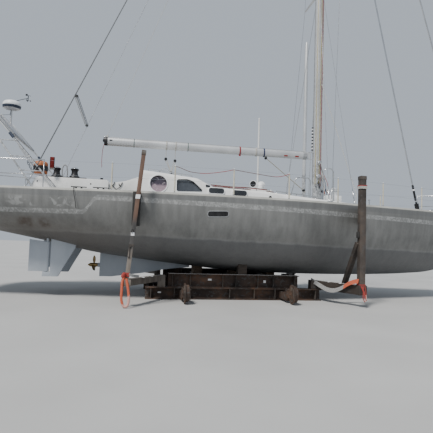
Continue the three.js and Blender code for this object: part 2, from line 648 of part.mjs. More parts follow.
function makePedestal() {
  const p = PEDESTAL;
  const column = plateXZ(p.outline, -p.half, p.half);
  const boss = rod([p.bossEnd, 0, p.axleZ], [p.x, 0, p.axleZ], p.bossR, ROUND);
  const bore = rod([p.boreEnds[0], 0, p.axleZ], [p.boreEnds[1], 0, p.axleZ], WHEEL.shaftR + PIN_PLAY, ROUND);
  return join([column, boss]).subtract(bore);
}

function makeWheel() {
  const w = WHEEL;
  const z = PEDESTAL.axleZ;
  const rim = new THREE.TorusGeometry(w.r, w.rimR, w.rimSides, w.rimSteps);
  rim.rotateY(Math.PI / 2);
  rim.translate(w.x, 0, z);
  const spokes = Array.from({ length: w.spokes }, (_, i) => {
    const a = (i * 2 * Math.PI) / w.spokes;
    return rod([w.x, 0, z], [w.x, w.r * Math.sin(a), z + w.r * Math.cos(a)], w.spokeR, 6);
  });
  const hub = rod([w.x + w.hub[0], 0, z], [w.x + w.hub[1], 0, z], w.hubR, ROUND);
  const shaft = rod([w.x, 0, z], [w.x + w.shaftReach, 0, z], w.shaftR, ROUND);
  return join([solid(rim), ...spokes, hub, shaft]);
}

// Rails and lifelines
function toeRail(side) {
  const strip = deckEdge.filter((_, i) => i % 2).map(([x, y]) => {
    const [outer, inner] = [y - TOE.outer, y - TOE.inner];
    const z0 = DECK_Z + GAP;
    const ring = [[x, inner, z0], [x, outer, z0], [x, outer, z0 + TOE.height], [x, inner, z0 + TOE.height]];
    return side > 0 ? ring : ring.map(([a, b, c]) => [a, -b, c]).reverse();
  });
  return loft(strip);
}

const railPoint = (x, side, z) => [x, side * (edgeY(x) - INBOARD), z];

function makeGuardrail(side) {
  const posts = STANCHION_XS.flatMap((x) => {
    const [, y] = railPoint(x, side, 0);
    const [near, far] = [y, y + side * SOCKET.reach].sort((a, b) => a - b);
    return [
      rod(railPoint(x, side, DECK_Z + GAP), railPoint(x, side, RAIL_TOP), TUBE_R),
      box(x - SOCKET.half, x + SOCKET.half, near, far, DECK_Z + GAP, DECK_Z + TOE.height),
    ];
  });
  const ends = [PUSHPIT.x + END_GAP, ...STANCHION_XS, PULPIT.x - END_GAP];
  const wires = LIFELINE_ZS.map((z) => bentTube(ends.map((x) => railPoint(x, side, z)), WIRE_R, 4));
  return join([toeRail(side), ...posts, ...wires]);
}

function makePushpit() {
  const { x, bendX, corner: [endX, endY], gateY } = PUSHPIT;
  const low = LIFELINE_ZS[0];
  const half = (side) => {
    const over = [railPoint(x, side, DECK_Z + GAP), railPoint(x, side, RAIL_TOP),
      railPoint(bendX, side, RAIL_TOP), [endX, side * endY, RAIL_TOP], [endX, 0, RAIL_TOP]];
    const under = [railPoint(x, side, low), railPoint(bendX, side, low), [endX, side * endY, low],
      [endX, side * gateY, low]];
    const legs = [[bendX, edgeY(bendX) - INBOARD], [endX, endY], [endX, gateY]].map(([legX, legY]) =>
      rod([legX, side * legY, DECK_Z + GAP], [legX, side * legY, RAIL_TOP], TUBE_R));
    return join([bentTube(over, TUBE_R), bentTube(under, TUBE_R), ...legs]);
  };
  return join([half(-1), half(1)]);
}

function makePulpit() {
  const p = PULPIT;
  const half = (side) => {
    const place = ([x, y], z) => [x, side * y, z];
    const bend = place(p.bend, RAIL_TOP + p.bendRise);
    const nose = place(p.nose, RAIL_TOP + p.noseRise);
    const over = [railPoint(p.x, side, DECK_Z + GAP), railPoint(p.x, side, RAIL_TOP), bend, nose,
      [p.nose[0], 0, RAIL_TOP + p.noseRise]];
    const under = [railPoint(p.x, side, LIFELINE_ZS[0]), place(p.lowEnd, LIFELINE_ZS[0])];
    const deck = DECK_Z + GAP;
    const legs = [rod(place(p.foot, deck), bend, TUBE_R), rod(place(p.stayFoot, deck), nose, TUBE_R)];
    return join([bentTube(over, TUBE_R), bentTube(under, TUBE_R), ...legs]);
  };
  return join([half(-1), half(1)]).subtract(belowDeck);
}

// The point of the line from p to q at a height
function onLine(p, q, z) {
  const t = (z - p[2]) / (q[2] - p[2]);
  return p.map((v, i) => v + (q[i] - v) * t);
}

function makeGantry() {
  const g = GANTRY;
  const half = (side) => {
    const place = ([x, y, z = DECK_Z + GAP]) => [x, side * y, z];
    const [head, fore, aft, knee] = [g.top, g.foreFoot, g.aftFoot, g.knee].map(place);
    const rungs = g.rungs.map((z) => rod(onLine(fore, head, z), onLine(aft, knee, z), g.rungR));
    return join([rod(fore, head, g.r), bentTube([aft, knee, head], g.r), ...rungs]);
  };
  const bars = g.bars.map((b) => rod([b.x, -b.half, b.z], [b.x, b.half, b.z], g.barR, ROUND));
  const pole = rod([g.poleX, 0, g.poleFoot], [g.poleX, 0, RADOME.z], g.poleR, 10);
  const [high, low] = g.bars;
  const spine = rod([high.x, 0, high.z], [low.x, 0, low.z], g.spineR);
  return join([half(-1), half(1), ...bars, pole, spine]).subtract(belowDeck);
}

// The panel lies on the two cross bars of the gantry
function makeSolarPanel() {
  const [high, low] = GANTRY.bars;
  const run = Math.hypot(low.x - high.x, low.z - high.z);
  const along = [(low.x - high.x) / run, (low.z - high.z) / run];
  const at = (t, h) => [high.x + along[0] * t - along[1] * h, high.z + along[1] * t + along[0] * h];
  const bed = GANTRY.barR + GAP;
  const top = bed + PANEL.thick;
  const ends = [-PANEL.over, run + PANEL.over];
  const slope = [at(ends[0], bed), at(ends[1], bed), at(ends[1], top), at(ends[0], top)];
  return plateXZ(slope, -PANEL.halfY, PANEL.halfY).subtract(box(...PANEL.notch));
}

const makeRadome = () => turned(RADOME.x, 0, RADOME.z + GAP, RADOME.profile);

const makeReel = () => turned(REEL.x, 0, DECK_Z + GAP, REEL.profile);

// Mast and rigging
function makeMast() {
  const m = MAST;
  const tube = new THREE.CylinderGeometry(1, 1, m.head - m.foot, ROUND);
  tube.rotateX(Math.PI / 2);
  tube.scale(m.half, m.halfY, 1);
  tube.translate(m.x, 0, (m.head + m.foot) / 2);
  const arms = SPREADERS.flatMap(({ z, tip }) => [-1, 1].map((s) => {
    const length = tip - ARM.short;
    const arm = new THREE.CylinderGeometry(ARM.tipR, ARM.rootR, length, ARM.sides);
    arm.scale(1, 1, ARM.flat);
    arm.translate(0, length / 2 + ARM.root, 0);
    if (s < 0) arm.rotateZ(Math.PI);
    arm.translate(ARM.x, 0, z);
    return solid(arm);
  }));
  const crane = box(CRANE.x, m.x, -CRANE.half, CRANE.half, CRANE.bottom, m.head);
  const lugs = GOOSE.lugs.map((z) =>
    box(GOOSE.x - GOOSE.lugReach, m.x, -GOOSE.lugHalf, GOOSE.lugHalf, z, z + GOOSE.lugThick));
  const pin = rod(...GOOSE.lugs.map((z) => [GOOSE.x, 0, z + GOOSE.lugThick / 2]), GOOSE.pinR, ROUND);
  return join([solid(tube), ...arms, crane, ...lugs, pin]);
}

function makeBoom() {
  const b = BOOM;
  const tube = new THREE.CylinderGeometry(1, 1, b.front - b.end, b.sides);
  tube.rotateZ(Math.PI / 2);
  tube.scale(1, b.halfY, b.half);
  tube.translate((b.front + b.end) / 2, 0, b.z);
  const g = GOOSE;
  const [low, high] = [g.lugs[0] + g.lugThick + RUN, g.lugs[1] - RUN];
  const tongue = box(b.front - g.tongueRoot, g.x + g.lugReach, -g.tongueHalf, g.tongueHalf, low, high);
  const bore = rod([g.x, 0, low - PAST], [g.x, 0, high + PAST], g.pinR + PIN_PLAY, ROUND);
  return join([solid(tube), tongue.subtract(bore)]);
}

function makeToppingLift() {
  const { x, r, footHalf, footHalfY, footRise, drop } = LIFT;
  const top = BOOM.z + BOOM.half;
  const foot = box(x - footHalf, x + footHalf, -footHalfY, footHalfY, top + GAP, top + footRise);
  return join([foot, rod([x, 0, top + footRise / 2], [GOOSE.x, 0, CRANE.bottom - drop], r)]);
}

function makeMainsheet() {
  const s = SHEET;
  const under = BOOM.z - BOOM.half - GAP;
  const [halfX, halfY, deep] = s.block;
  const falls = s.xs.map((x, i) =>
    rod([x, 0, under - s.fallTop], [s.fallEnds[i], 0, s.fallFoot], s.fallR, s.sides));
  const heads = s.xs.map((x) => box(x - halfX, x + halfX, -halfY, halfY, under - deep, under));
  const foot = box(...s.footX, -s.footHalf, s.footHalf, s.foot, s.footTop);
  return join([...falls, ...heads, foot]);
}

function makeForestay(stay) {
  const [footX, footZ] = stay.foot;
  const [headX, headZ] = stay.head;
  const foot = [footX, 0, footZ + TACK.stayRise];
  const head = [headX, 0, headZ];
  const plate = box(footX + TACK.x[0], footX + TACK.x[1], -TACK.halfY, TACK.halfY, DECK_Z + GAP,
    footZ + TACK.rise);
  const [drumLow, drumHigh] = TACK.drumZ.map((z) => onLine(foot, head, z));
  const drum = rod(drumLow, drumHigh, stay.drumR, TACK.drumSides);
  const lug = box(MAST.x + MAST.half + GAP, headX + STAY_LUG.past, -STAY_LUG.halfY, STAY_LUG.halfY,
    headZ - STAY_LUG.below, headZ + STAY_LUG.above);
  return join([rod(foot, head, FOIL_R, 8), plate, drum, lug]);
}

function makeBackstay(side) {
  const b = BACKSTAY;
  const [x, y] = b.foot;
  const [hx, hy, hz] = b.head;
  const plate = box(x - b.plateX, x + b.plateX, side * y - b.plateY, side * y + b.plateY, DECK_Z + GAP,
    DECK_Z + b.plateRise);
  const toggle = box(hx - b.toggleX, hx + b.toggleX, side * hy - b.toggleY, side * hy + b.toggleY,
    hz - b.toggleDrop, CRANE.bottom - GAP);
  return join([plate, toggle, rod([x, side * y, DECK_Z + b.footRise], [hx, side * hy, hz], STAY_R)]);
}

function makeShrouds(side) {
  const s = SHROUD;
  const foot = (x, rise) => [x, side * (edgeY(x) - s.inboard), DECK_Z + rise];
  const mastY = side * (MAST.halfY + s.offMast);
  const plateRise = GAP + s.plateRise;
  const plates = beam(foot(s.aftX - s.plateEnd, plateRise), foot(s.foreX + s.plateEnd, plateRise),
    s.plateWide, s.plateDeep);
  const tips = SPREADERS.map(({ z, tip }) => [ARM.x, side * (tip + s.tipGap), z]);
  const cap = bentTube([foot(s.capX, s.footRise), ...tips, [MAST.x, mastY, s.capTop]], STAY_R, s.sides);
  const lower = [s.aftX, s.foreX].map((x) => rod(foot(x, s.footRise),
    [MAST.x + Math.sign(x - MAST.x) * s.lowerX, mastY, SPREADERS[0].z - s.lowerDrop], STAY_R, s.sides));
  const [near, far] = [side * (MAST.halfY + GAP), mastY + side * s.tangThick].sort((a, b) => a - b);
  const tangs = s.tangZ.map((z) => box(MAST.x - s.tangHalf, MAST.x + s.tangHalf, near, far, ...z));
  return join([plates, cap, ...lower, ...tangs]).subtract(belowDeck);
}

const makePole = ({ x, y, profile }, sides) => turned(x, y, DECK_Z + GAP, profile, sides);

const roof = makeRoof();
const roofAbove = roof.translate([0, 0, GAP]);

function makeMastRail(side) {
  const { foot, bend, r } = MAST_RAIL;
  const { x: [x0, x1], rake, y, z } = side < 0 ? MAST_RAIL.starboard : MAST_RAIL.port;
  return bentTube([[x0 - rake, y, foot], [x0, y, z - bend], [x0 + bend, y, z], [x1 - bend, y, z],
    [x1, y, z - bend], [x1, y, foot]], r).subtract(roofAbove);
}

function makeVents() {
  const { y, half, foot, top } = VENT_BOX;
  const cowls = COWLS.map(({ x, r, way }) => {
    const ball = new THREE.SphereGeometry(r, 10, 6);
    ball.translate(x, y, top + COWL.rise);
    const neck = rod([x, y, top - COWL.sunk], [x, y, top + COWL.rise], r * COWL.neck, 10);
    const reach = r * COWL.reach;
    const mouth = [x + way[0] * reach, y + way[1] * reach, top + COWL.mouthRise];
    const throat = rod([x, y, top + COWL.throatRise], mouth, r * COWL.throat, 10, r * COWL.mouth);
    return join([neck, solid(ball), throat]);
  });
  const housing = box(...VENT_BOX.x, y - half, y + half, foot, top).subtract(roofAbove);
  return join([housing, ...cowls]);
}

function makeCapsule() {
  const { x, y, z, base, baseTop, profile } = CAPSULE;
  return join([turned(x, y, z, profile), box(...base, z, baseTop)]).subtract(roofAbove);
}

function makeWindlass() {
  const w = WINDLASS;
  const z = DECK_Z + GAP;
  const drum = rod([w.x, -w.drumHalf, z + w.drumZ], [w.x, w.drumHalf, z + w.drumZ], w.drumR, 14);
  const base = box(w.x - w.baseX, w.x + w.baseX, -w.baseY, w.baseY, z, z + w.baseTop);
  const body = box(w.x - w.bodyX, w.x + w.bodyX, -w.bodyY, w.bodyY, z + w.bodyZ[0], z + w.bodyZ[1]);
  return join([base, body, drum]);
}

// Yard carriage
function rolledBeam(b, y, x0 = b.x0, x1 = b.x1) {
  const w = WEB / 2;
  const [low, high] = [b.z0 + FLANGE, b.z1 - FLANGE];
  const half = [[b.half, b.z0], [b.half, low], [w, low], [w, high], [b.half, high], [b.half, b.z1]];
  const outline = [...half, ...half.slice().reverse().map(([a, z]) => [-a, z])].map(([a, z]) => [y + a, z]);
  return plateYZ(outline, x0, x1);
}

function makeForks(x, side) {
  const [y0, y1] = [side * FORK.inner, side * FORK.outer].sort((a, b) => a - b);
  const plates = [-1, 1].map((s) => {
    const [x0, x1] = [x + s * FORK.gap, x + s * (FORK.gap + FORK.thick)].sort((a, b) => a - b);
    return box(x0, x1, y0, y1, FORK.z0, FORK.z1);
  });
  const reach = FORK.gap + FORK.thick + PAST;
  const y = side * RAIL_WHEEL.y;
  const { z, axleR } = RAIL_WHEEL;
  const bore = rod([x - reach, y, z], [x + reach, y, z], axleR + PIN_PLAY, ROUND);
  return join(plates).subtract(bore);
}

function makeLowerFrame() {
  const rails = [-1, 1].map((s) => rolledBeam(LOWER_BEAM, s * BEAM_Y));
  const { half, reach, z } = LOWER_CROSS;
  const crosses = WHEEL_XS.flatMap((x) => [
    box(x - half, x + half, -reach, reach, ...z), makeForks(x, -1), makeForks(x, 1),
  ]);
  return join([...rails, ...crosses]);
}

function makeRailWheel(x, side) {
  const w = RAIL_WHEEL;
  const d = WHEEL_DISC;
  const y = side * w.y;
  const disc = (x0, x1, r, sides) => rod([x + x0, y, w.z], [x + x1, y, w.z], r, sides);
  return join([
    disc(-w.half, -w.half + d.flange, w.flangeR, d.sides), disc(-w.half, w.half, w.treadR, d.sides),
    disc(-d.axleHalf, d.axleHalf, w.axleR, ROUND),
  ]);
}

function makeUpperFrame() {
  const rails = [-1, 1].map((s) => rolledBeam(UPPER_BEAM, s * BEAM_Y));
  const { half, z } = UPPER_CROSS;
  return join([...rails, ...KEEL_BLOCK.xs.map((x) => box(x - half, x + half, -BEAM_Y, BEAM_Y, ...z))]);
}

function makeKeelBlock(x) {
  const { halfX, halfY, top } = KEEL_BLOCK;
  return box(x - halfX, x + halfX, -halfY, halfY, UPPER_CROSS.z[1] + GAP, top).subtract(hullBelow);
}

function makeBilgeBlock(side) {
  const { x, half, top } = BILGE_BLOCK;
  const y = side * BEAM_Y;
  return box(...x, y - half, y + half, UPPER_BEAM.z1 + GAP, top).subtract(hullBelow);
}

function makePost(post, side) {
  const at = ([x, y, z]) => [x, side * y, z];
  const [footX, footY] = post.foot;
  const [armLow, armHigh] = post.armZ;
  const armZ = (armLow + armHigh) / 2;
  const y = side * footY;
  const upright = beam(at(post.foot), at(post.head), post.width, post.width);
  const armEnd = [post.innerX, side * BEAM_Y * ARM_END, armZ];
  const arm = beam([footX, y, armZ], armEnd, ARM_WIDE, armHigh - armLow)
    .add(box(footX - ARM_FOOT, footX + ARM_FOOT, y - ARM_FOOT, y + ARM_FOOT, armLow, armHigh));
  const packer = box(post.innerX - PACKER.aft, post.innerX + PACKER.fore, side * BEAM_Y - PACKER.half,
    side * BEAM_Y + PACKER.half, LOWER_BEAM.z1 + GAP, armHigh);
  const [padX, postY] = onLine(post.foot, post.head, PAD.z);
  const [padY0, padY1] = [side * postY, side * (postY - PAD.reach)];
  const lead = post.skew * PAD.reach;
  const wall = bareHull.translate([0, side * GAP, 0]);
  const [outY0, outY1] = [side * PAD.reach, side * FAR].sort((a, b) => a - b);
  const outboard = box(-FAR, FAR, outY0, outY1, 0, FAR);
  const pads = post.pads.map(({ half, z }) => {
    const plan = [[padX - half, padY0], [padX + half, padY0], [padX + lead + half, padY1],
      [padX + lead - half, padY1]];
    return plateXY(plan, ...z).subtract(wall).intersect(outboard);
  });
  const parts = [upright, arm, packer, ...pads];
  if (post.brace) {
    const { wide, top, aft, inward, sunk } = post.brace;
    parts.push(beam([padX - aft[0], side * (postY - inward[0]), top],
      [padX - aft[1], side * (postY - inward[1]), armHigh - sunk], wide, wide));
  }
  return join(parts);
}

// Assembly
const yacht = new THREE.Group();
yacht.position.x = -MIDDLE_X;

function add(name, shape, finish) {
  const { vertProperties, triVerts, numProp } = shape.getMesh();
  const geometry = new THREE.BufferGeometry();
  const points = new THREE.InterleavedBuffer(vertProperties, numProp);
  geometry.setAttribute("position", new THREE.InterleavedBufferAttribute(points, 3, 0));
  geometry.setIndex(new THREE.BufferAttribute(triVerts, 1));
  const flat = geometry.toNonIndexed();
  flat.computeVertexNormals();
  const [color, roughness, metalness] = FINISH[finish];
  const mesh = new THREE.Mesh(flat, new THREE.MeshStandardMaterial({ color, roughness, metalness }));
  mesh.name = name;
  yacht.add(mesh);
}

add("hull", makeHull(), "hull");
add("stub_keel", makeKeel(), "keel");
add("propeller", makePropeller(), "bronze");
for (const [side, shape] of bothSides(makeSkeg)) add(`skeg_${side}`, shape, "keel");
for (const [side, shape] of bothSides(makeRudder)) add(`rudder_${side}`, shape, "keel");

add("doghouse", makeHouse(), "white");
for (const [side, shape] of bothSides(makeGlazing)) add(`glazing_${side}`, shape, "glass");
add("cabin_door", makeDoor(), "white");
add("coachroof", roof, "white");
add("cockpit_coaming", makeCoaming(), "white");
for (const [side, shape] of bothSides(makeWinches)) add(`winches_${side}`, shape, "black");
add("helm_pedestal", makePedestal(), "white");
add("steering_wheel", makeWheel(), "steel");
add("cowl_vents", makeVents(), "white");
add("vent_capsule", makeCapsule(), "white");
for (const [name, hatch] of Object.entries(HATCHES)) add(name, hatchLid(hatch), "glass");
add("windlass", makeWindlass(), "steel");

for (const [side, shape] of bothSides(makeGuardrail)) add(`guardrail_${side}`, shape, "steel");
add("bow_pulpit", makePulpit(), "steel");
add("stern_rail", makePushpit(), "steel");
add("gantry", makeGantry(), "spar");
add("solar_panel", makeSolarPanel(), "solar");
add("radome", makeRadome(), "radome");
add("rope_reel", makeReel(), "reel");

add("mast", makeMast(), "spar");
add("boom", makeBoom(), "spar");
add("topping_lift", makeToppingLift(), "rope");
add("mainsheet", makeMainsheet(), "rope");
add("forestay", makeForestay(FORESTAY), "steel");
add("inner_forestay", makeForestay(INNER_STAY), "steel");
for (const [side, shape] of bothSides(makeBackstay)) add(`backstay_${side}`, shape, "steel");
for (const [side, shape] of bothSides(makeShrouds)) add(`shrouds_${side}`, shape, "steel");
add("stowed_pole", makePole(STOWED_POLE, 12), "spar");
add("deck_pole", makePole(DECK_POLE, 10), "white");
for (const [side, shape] of bothSides(makeMastRail)) add(`mast_rail_${side}`, shape, "steel");

add("carriage_lower", makeLowerFrame(), "rust");
add("carriage_upper", makeUpperFrame(), "beam");
KEEL_BLOCK.xs.forEach((x, i) => add(`keel_block_${i + 1}`, makeKeelBlock(x), "timber"));
for (const [side, shape] of bothSides(makeBilgeBlock)) add(`bilge_block_${side}`, shape, "timber");
for (const post of POSTS)
  for (const [side, shape] of bothSides((s) => makePost(post, s)))
    add(`post_${post.end}_${side}`, shape, "rust");
WHEEL_XS.forEach((x, i) => {
  for (const [side, shape] of bothSides((s) => makeRailWheel(x, s)))
    add(`rail_wheel_${i ? "fore" : "aft"}_${side}`, shape, "rust");
});

export default yacht;
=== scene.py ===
# The looks of a cruising sailing yacht on its yard carriage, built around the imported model. Metres.
# X runs forward from under the middle of the yacht, Y to port and Z up from the ground.
import math

import bmesh
import bpy
import numpy as np
from mathutils import Matrix, Vector


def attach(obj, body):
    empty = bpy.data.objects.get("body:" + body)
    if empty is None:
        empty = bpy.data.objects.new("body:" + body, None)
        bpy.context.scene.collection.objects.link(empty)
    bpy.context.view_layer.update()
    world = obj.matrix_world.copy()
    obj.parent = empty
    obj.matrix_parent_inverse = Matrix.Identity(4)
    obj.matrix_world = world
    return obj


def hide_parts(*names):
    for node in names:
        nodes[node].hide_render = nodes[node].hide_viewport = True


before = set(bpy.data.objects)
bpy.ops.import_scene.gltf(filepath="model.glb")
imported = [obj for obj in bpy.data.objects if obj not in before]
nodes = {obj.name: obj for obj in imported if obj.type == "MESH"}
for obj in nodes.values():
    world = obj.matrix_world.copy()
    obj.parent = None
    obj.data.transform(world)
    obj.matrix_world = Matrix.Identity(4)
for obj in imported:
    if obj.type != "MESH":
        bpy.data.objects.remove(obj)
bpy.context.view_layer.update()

# Driving sizes, as in the part. Station X counts from the third stanchion, AFT metres aft of the origin
AFT = 0.9
DECK = 2.72
STATIONS = [  # station x, half beam at the deck edge, height of the bottom
    (-7.5, 1.6, 1.935), (-6.6, 1.745, 1.775), (-5.7, 1.855, 1.61), (-4.6, 1.99, 1.4), (-3.6, 2.13, 1.185),
    (-2.4, 2.255, 1.03), (-1.0, 2.34, 0.875), (0.5, 2.335, 0.735), (2.0, 2.18, 0.69), (3.5, 1.9, 0.68),
    (5.0, 1.55, 0.7), (6.3, 1.19, 0.755), (7.3, 0.88, 0.86), (8.2, 0.56, 1.16), (8.85, 0.29, 1.68),
    (9.3, 0.04, 2.45),
]
TRANSOM_X, RAKE_FADE_X, BOW_X, STEM_X = -7.5, -6.0, 3.0, 9.3
FULL_BILGE, SHARP_BOW, TRANSOM_RAKE = 0.85, 1.45, 0.35
COCKPIT = ((-4.9, -0.95, 2.2), (-2.31, 0.95, 2.8))
CABIN = ((-2.22, -1.25, 1.5), (-0.56, 1.25, 2.8))
DOORWAY = ((-2.33, -0.33, 2.3), (-2.2, 0.33, 3.33))
FORE_WELL = ((4.78, -0.24, 2.25), (5.26, 0.24, 2.9))
SALOON_WELL = ((1.7, -0.22, 2.78), (2.14, 0.22, 3.2))
HOUSE = [(-2.31, 1.64, 3.425), (-1.84, 1.64, 3.385), (-0.82, 1.62, 3.29), (-0.43, 1.6, 3.1)]
ROOF = [(-0.4297, 1.6, 3.07), (1.13, 1.48, 3.04), (2.06, 1.34, 2.98), (2.9, 1.2, 2.935), (3.5, 1.12, 2.905),
        (4.09, 1.02, 2.87), (4.22, 0.98, 2.78)]
STANCHIONS = (-3.05, -1.5, 0.01, 1.54, 3.05, 4.63, 6.18)
MAST_X, MAST_HALF, MAST_HALF_Y = 3.24, 0.145, 0.095
BOOM_Z, BOOM_HALF, BOOM_HALF_Y, BOOM_END, BOOM_FRONT = 4.44, 0.125, 0.075, -3.43, 2.87
BEAM_Y = 1.2
WHEELS, WHEEL_Y, WHEEL_Z = (("aft", -1.1), ("fore", 1.72)), 2.2, 0.262
DECK_TOP = DECK + 0.0003  # where things that rest on the deck begin
CLUTCH_Y, CLUTCH_STEP = 0.55, 0.055
ENSIGN_Y = -1.75
# The waterline's height amidships and its fall per metre towards the bow
WATERLINE, WATERLINE_FALL = 1.57, 0.0223
# The ghost of the hull's stripe: its height at the stern, its step up and half its width
STRIPE_AFT, STRIPE_STEP, STRIPE_HALF = 2.20, 0.36, 0.055
RUNS = ((-5.32, -4.96), (-4.80, -4.52))  # where rust has run down the hull's plate
STEP_AFT, STEP_FORE = -3.74 - AFT, -3.36 - AFT  # where the ghost of the hull's stripe steps up
CAMERA_PLACE, FOCAL = (-3.28, -13.09, 1.545), 36.08
CAMERA_TURN = (10.3, 3.49, 1.9)  # yaw, pitch and roll in degrees
FLOOR_HALF = 160
SIDES, SIDE_NAMES = (-1, 1), ((-1, "starboard"), (1, "port"))
AHEAD, ACROSS, UP = (1, 0, 0), (0, 1, 0), (0, 0, 1)
SQUARE = ((-1, -1), (1, -1), (1, 1), (-1, 1))
BOX_FACES = [(3, 2, 1, 0), (4, 5, 6, 7), (0, 1, 5, 4), (1, 2, 6, 5), (2, 3, 7, 6), (3, 0, 4, 7)]
SUNK = 0.012  # how deep window panes and rims reach below the surface that they lie on


def fx(station):
    """X in the model's frame, from a station X."""
    return station - AFT


def at(x, y, z):
    """A point in the model's frame, from a station X."""
    return Vector((x - AFT, y, z))


def placed(point):
    """A point in the model's frame: a Vector is in it already, anything else is in station X."""
    return point if isinstance(point, Vector) else at(*point)


def about(middle, half):
    return middle - half, middle + half


def both(name):
    return f"{name}_starboard", f"{name}_port"


# Curves and outlines
def angles(count):
    """Even steps around a full turn."""
    return [2 * math.pi * k / count for k in range(count)]


def spline(points, count):
    """The centripetal Catmull-Rom curve through some points, at even steps of its parameter."""
    p = np.array(points, float)
    spans = len(p) - 1
    p = np.vstack([2 * p[0] - p[1], p, 2 * p[-1] - p[-2]])
    made = []
    for i in range(count):
        where = i / (count - 1) * spans
        k = min(int(where), spans - 1)
        w = where - k
        a, b, c, d = p[k:k + 4]
        d0, d1, d2 = (np.dot(v, v) ** 0.25 for v in (b - a, c - b, d - c))
        t1 = ((b - a) / d0 - (c - a) / (d0 + d1) + (c - b) / d1) * d1
        t2 = ((c - b) / d1 - (d - b) / (d1 + d2) + (d - c) / d2) * d1
        made.append(b + t1 * w + (3 * (c - b) - 2 * t1 - t2) * w ** 2 + (2 * (b - c) + t1 + t2) * w ** 3)
    return made


def eased(points, count):
    """A smooth path through some points."""
    return [Vector(p) for p in spline([placed(p) for p in points], count)]


def along(points):
    """The way that a path leads at each of its points."""
    last = len(points) - 1
    return [(points[min(i + 1, last)] - points[max(i - 1, 0)]).normalized() for i in range(last + 1)]


def curve(profile, count):
    """A smooth profile for a turned part."""
    return [tuple(p) for p in spline(profile, count)]


def knob(*steps):
    """The profile of a turned part that is closed at both ends, from its radii and heights."""
    return [(0, steps[0][1]), *steps, (0, steps[-1][1])]


def disc(r, low, high):
    return knob((r, low), (r, high))


def bead(end, r, waist, rim):
    """The profile of a block, ball or drum: the same on both sides of its waist."""
    return [(0, -end), (r, -rim), (waist, 0), (r, rim), (0, end)]


def lerp(table, x, column):
    return float(np.interp(x, [row[0] for row in table], [row[column] for row in table]))


def smoothstep(x, low, high):
    t = min(1.0, max(0.0, (x - low) / (high - low)))
    return t * t * (3 - 2 * t)


def rounded(outline, radius, steps=6, open_ends=False):
    """An outline with its corners turned into arcs. With open_ends its first and last point stay."""
    made = []
    count = len(outline)
    for i in range(count):
        if open_ends and i in (0, count - 1):
            made.append(Vector(outline[i]))
            continue
        before, here, after = (Vector(outline[(i + k) % count]) for k in (-1, 0, 1))
        a, b = (before - here), (after - here)
        reach = min(radius, a.length * 0.49, b.length * 0.49)
        start, end = here + a.normalized() * reach, here + b.normalized() * reach
        for k in range(steps + 1):
            t = k / steps
            made.append(start * (1 - t) ** 2 + here * 2 * t * (1 - t) + end * t ** 2)
    return made


def rectangle(x0, x1, y0, y1, radius):
    return rounded([(x0, y0), (x1, y0), (x1, y1), (x0, y1)], radius)


def circle(x, z, r):
    return [Vector((x + r * math.cos(a), z + r * math.sin(a))) for a in angles(40)]


def grown(outline, by):
    """An outline moved out along its own normals."""
    count = len(outline)
    turn = sum(outline[i - 1].x * outline[i].y - outline[i].x * outline[i - 1].y for i in range(count))
    made = []
    for i in range(count):
        along = (outline[(i + 1) % count] - outline[i - 1]).normalized()
        out = Vector((along.y, -along.x)) * (1 if turn > 0 else -1)
        made.append(outline[i] + out * by)
    return made


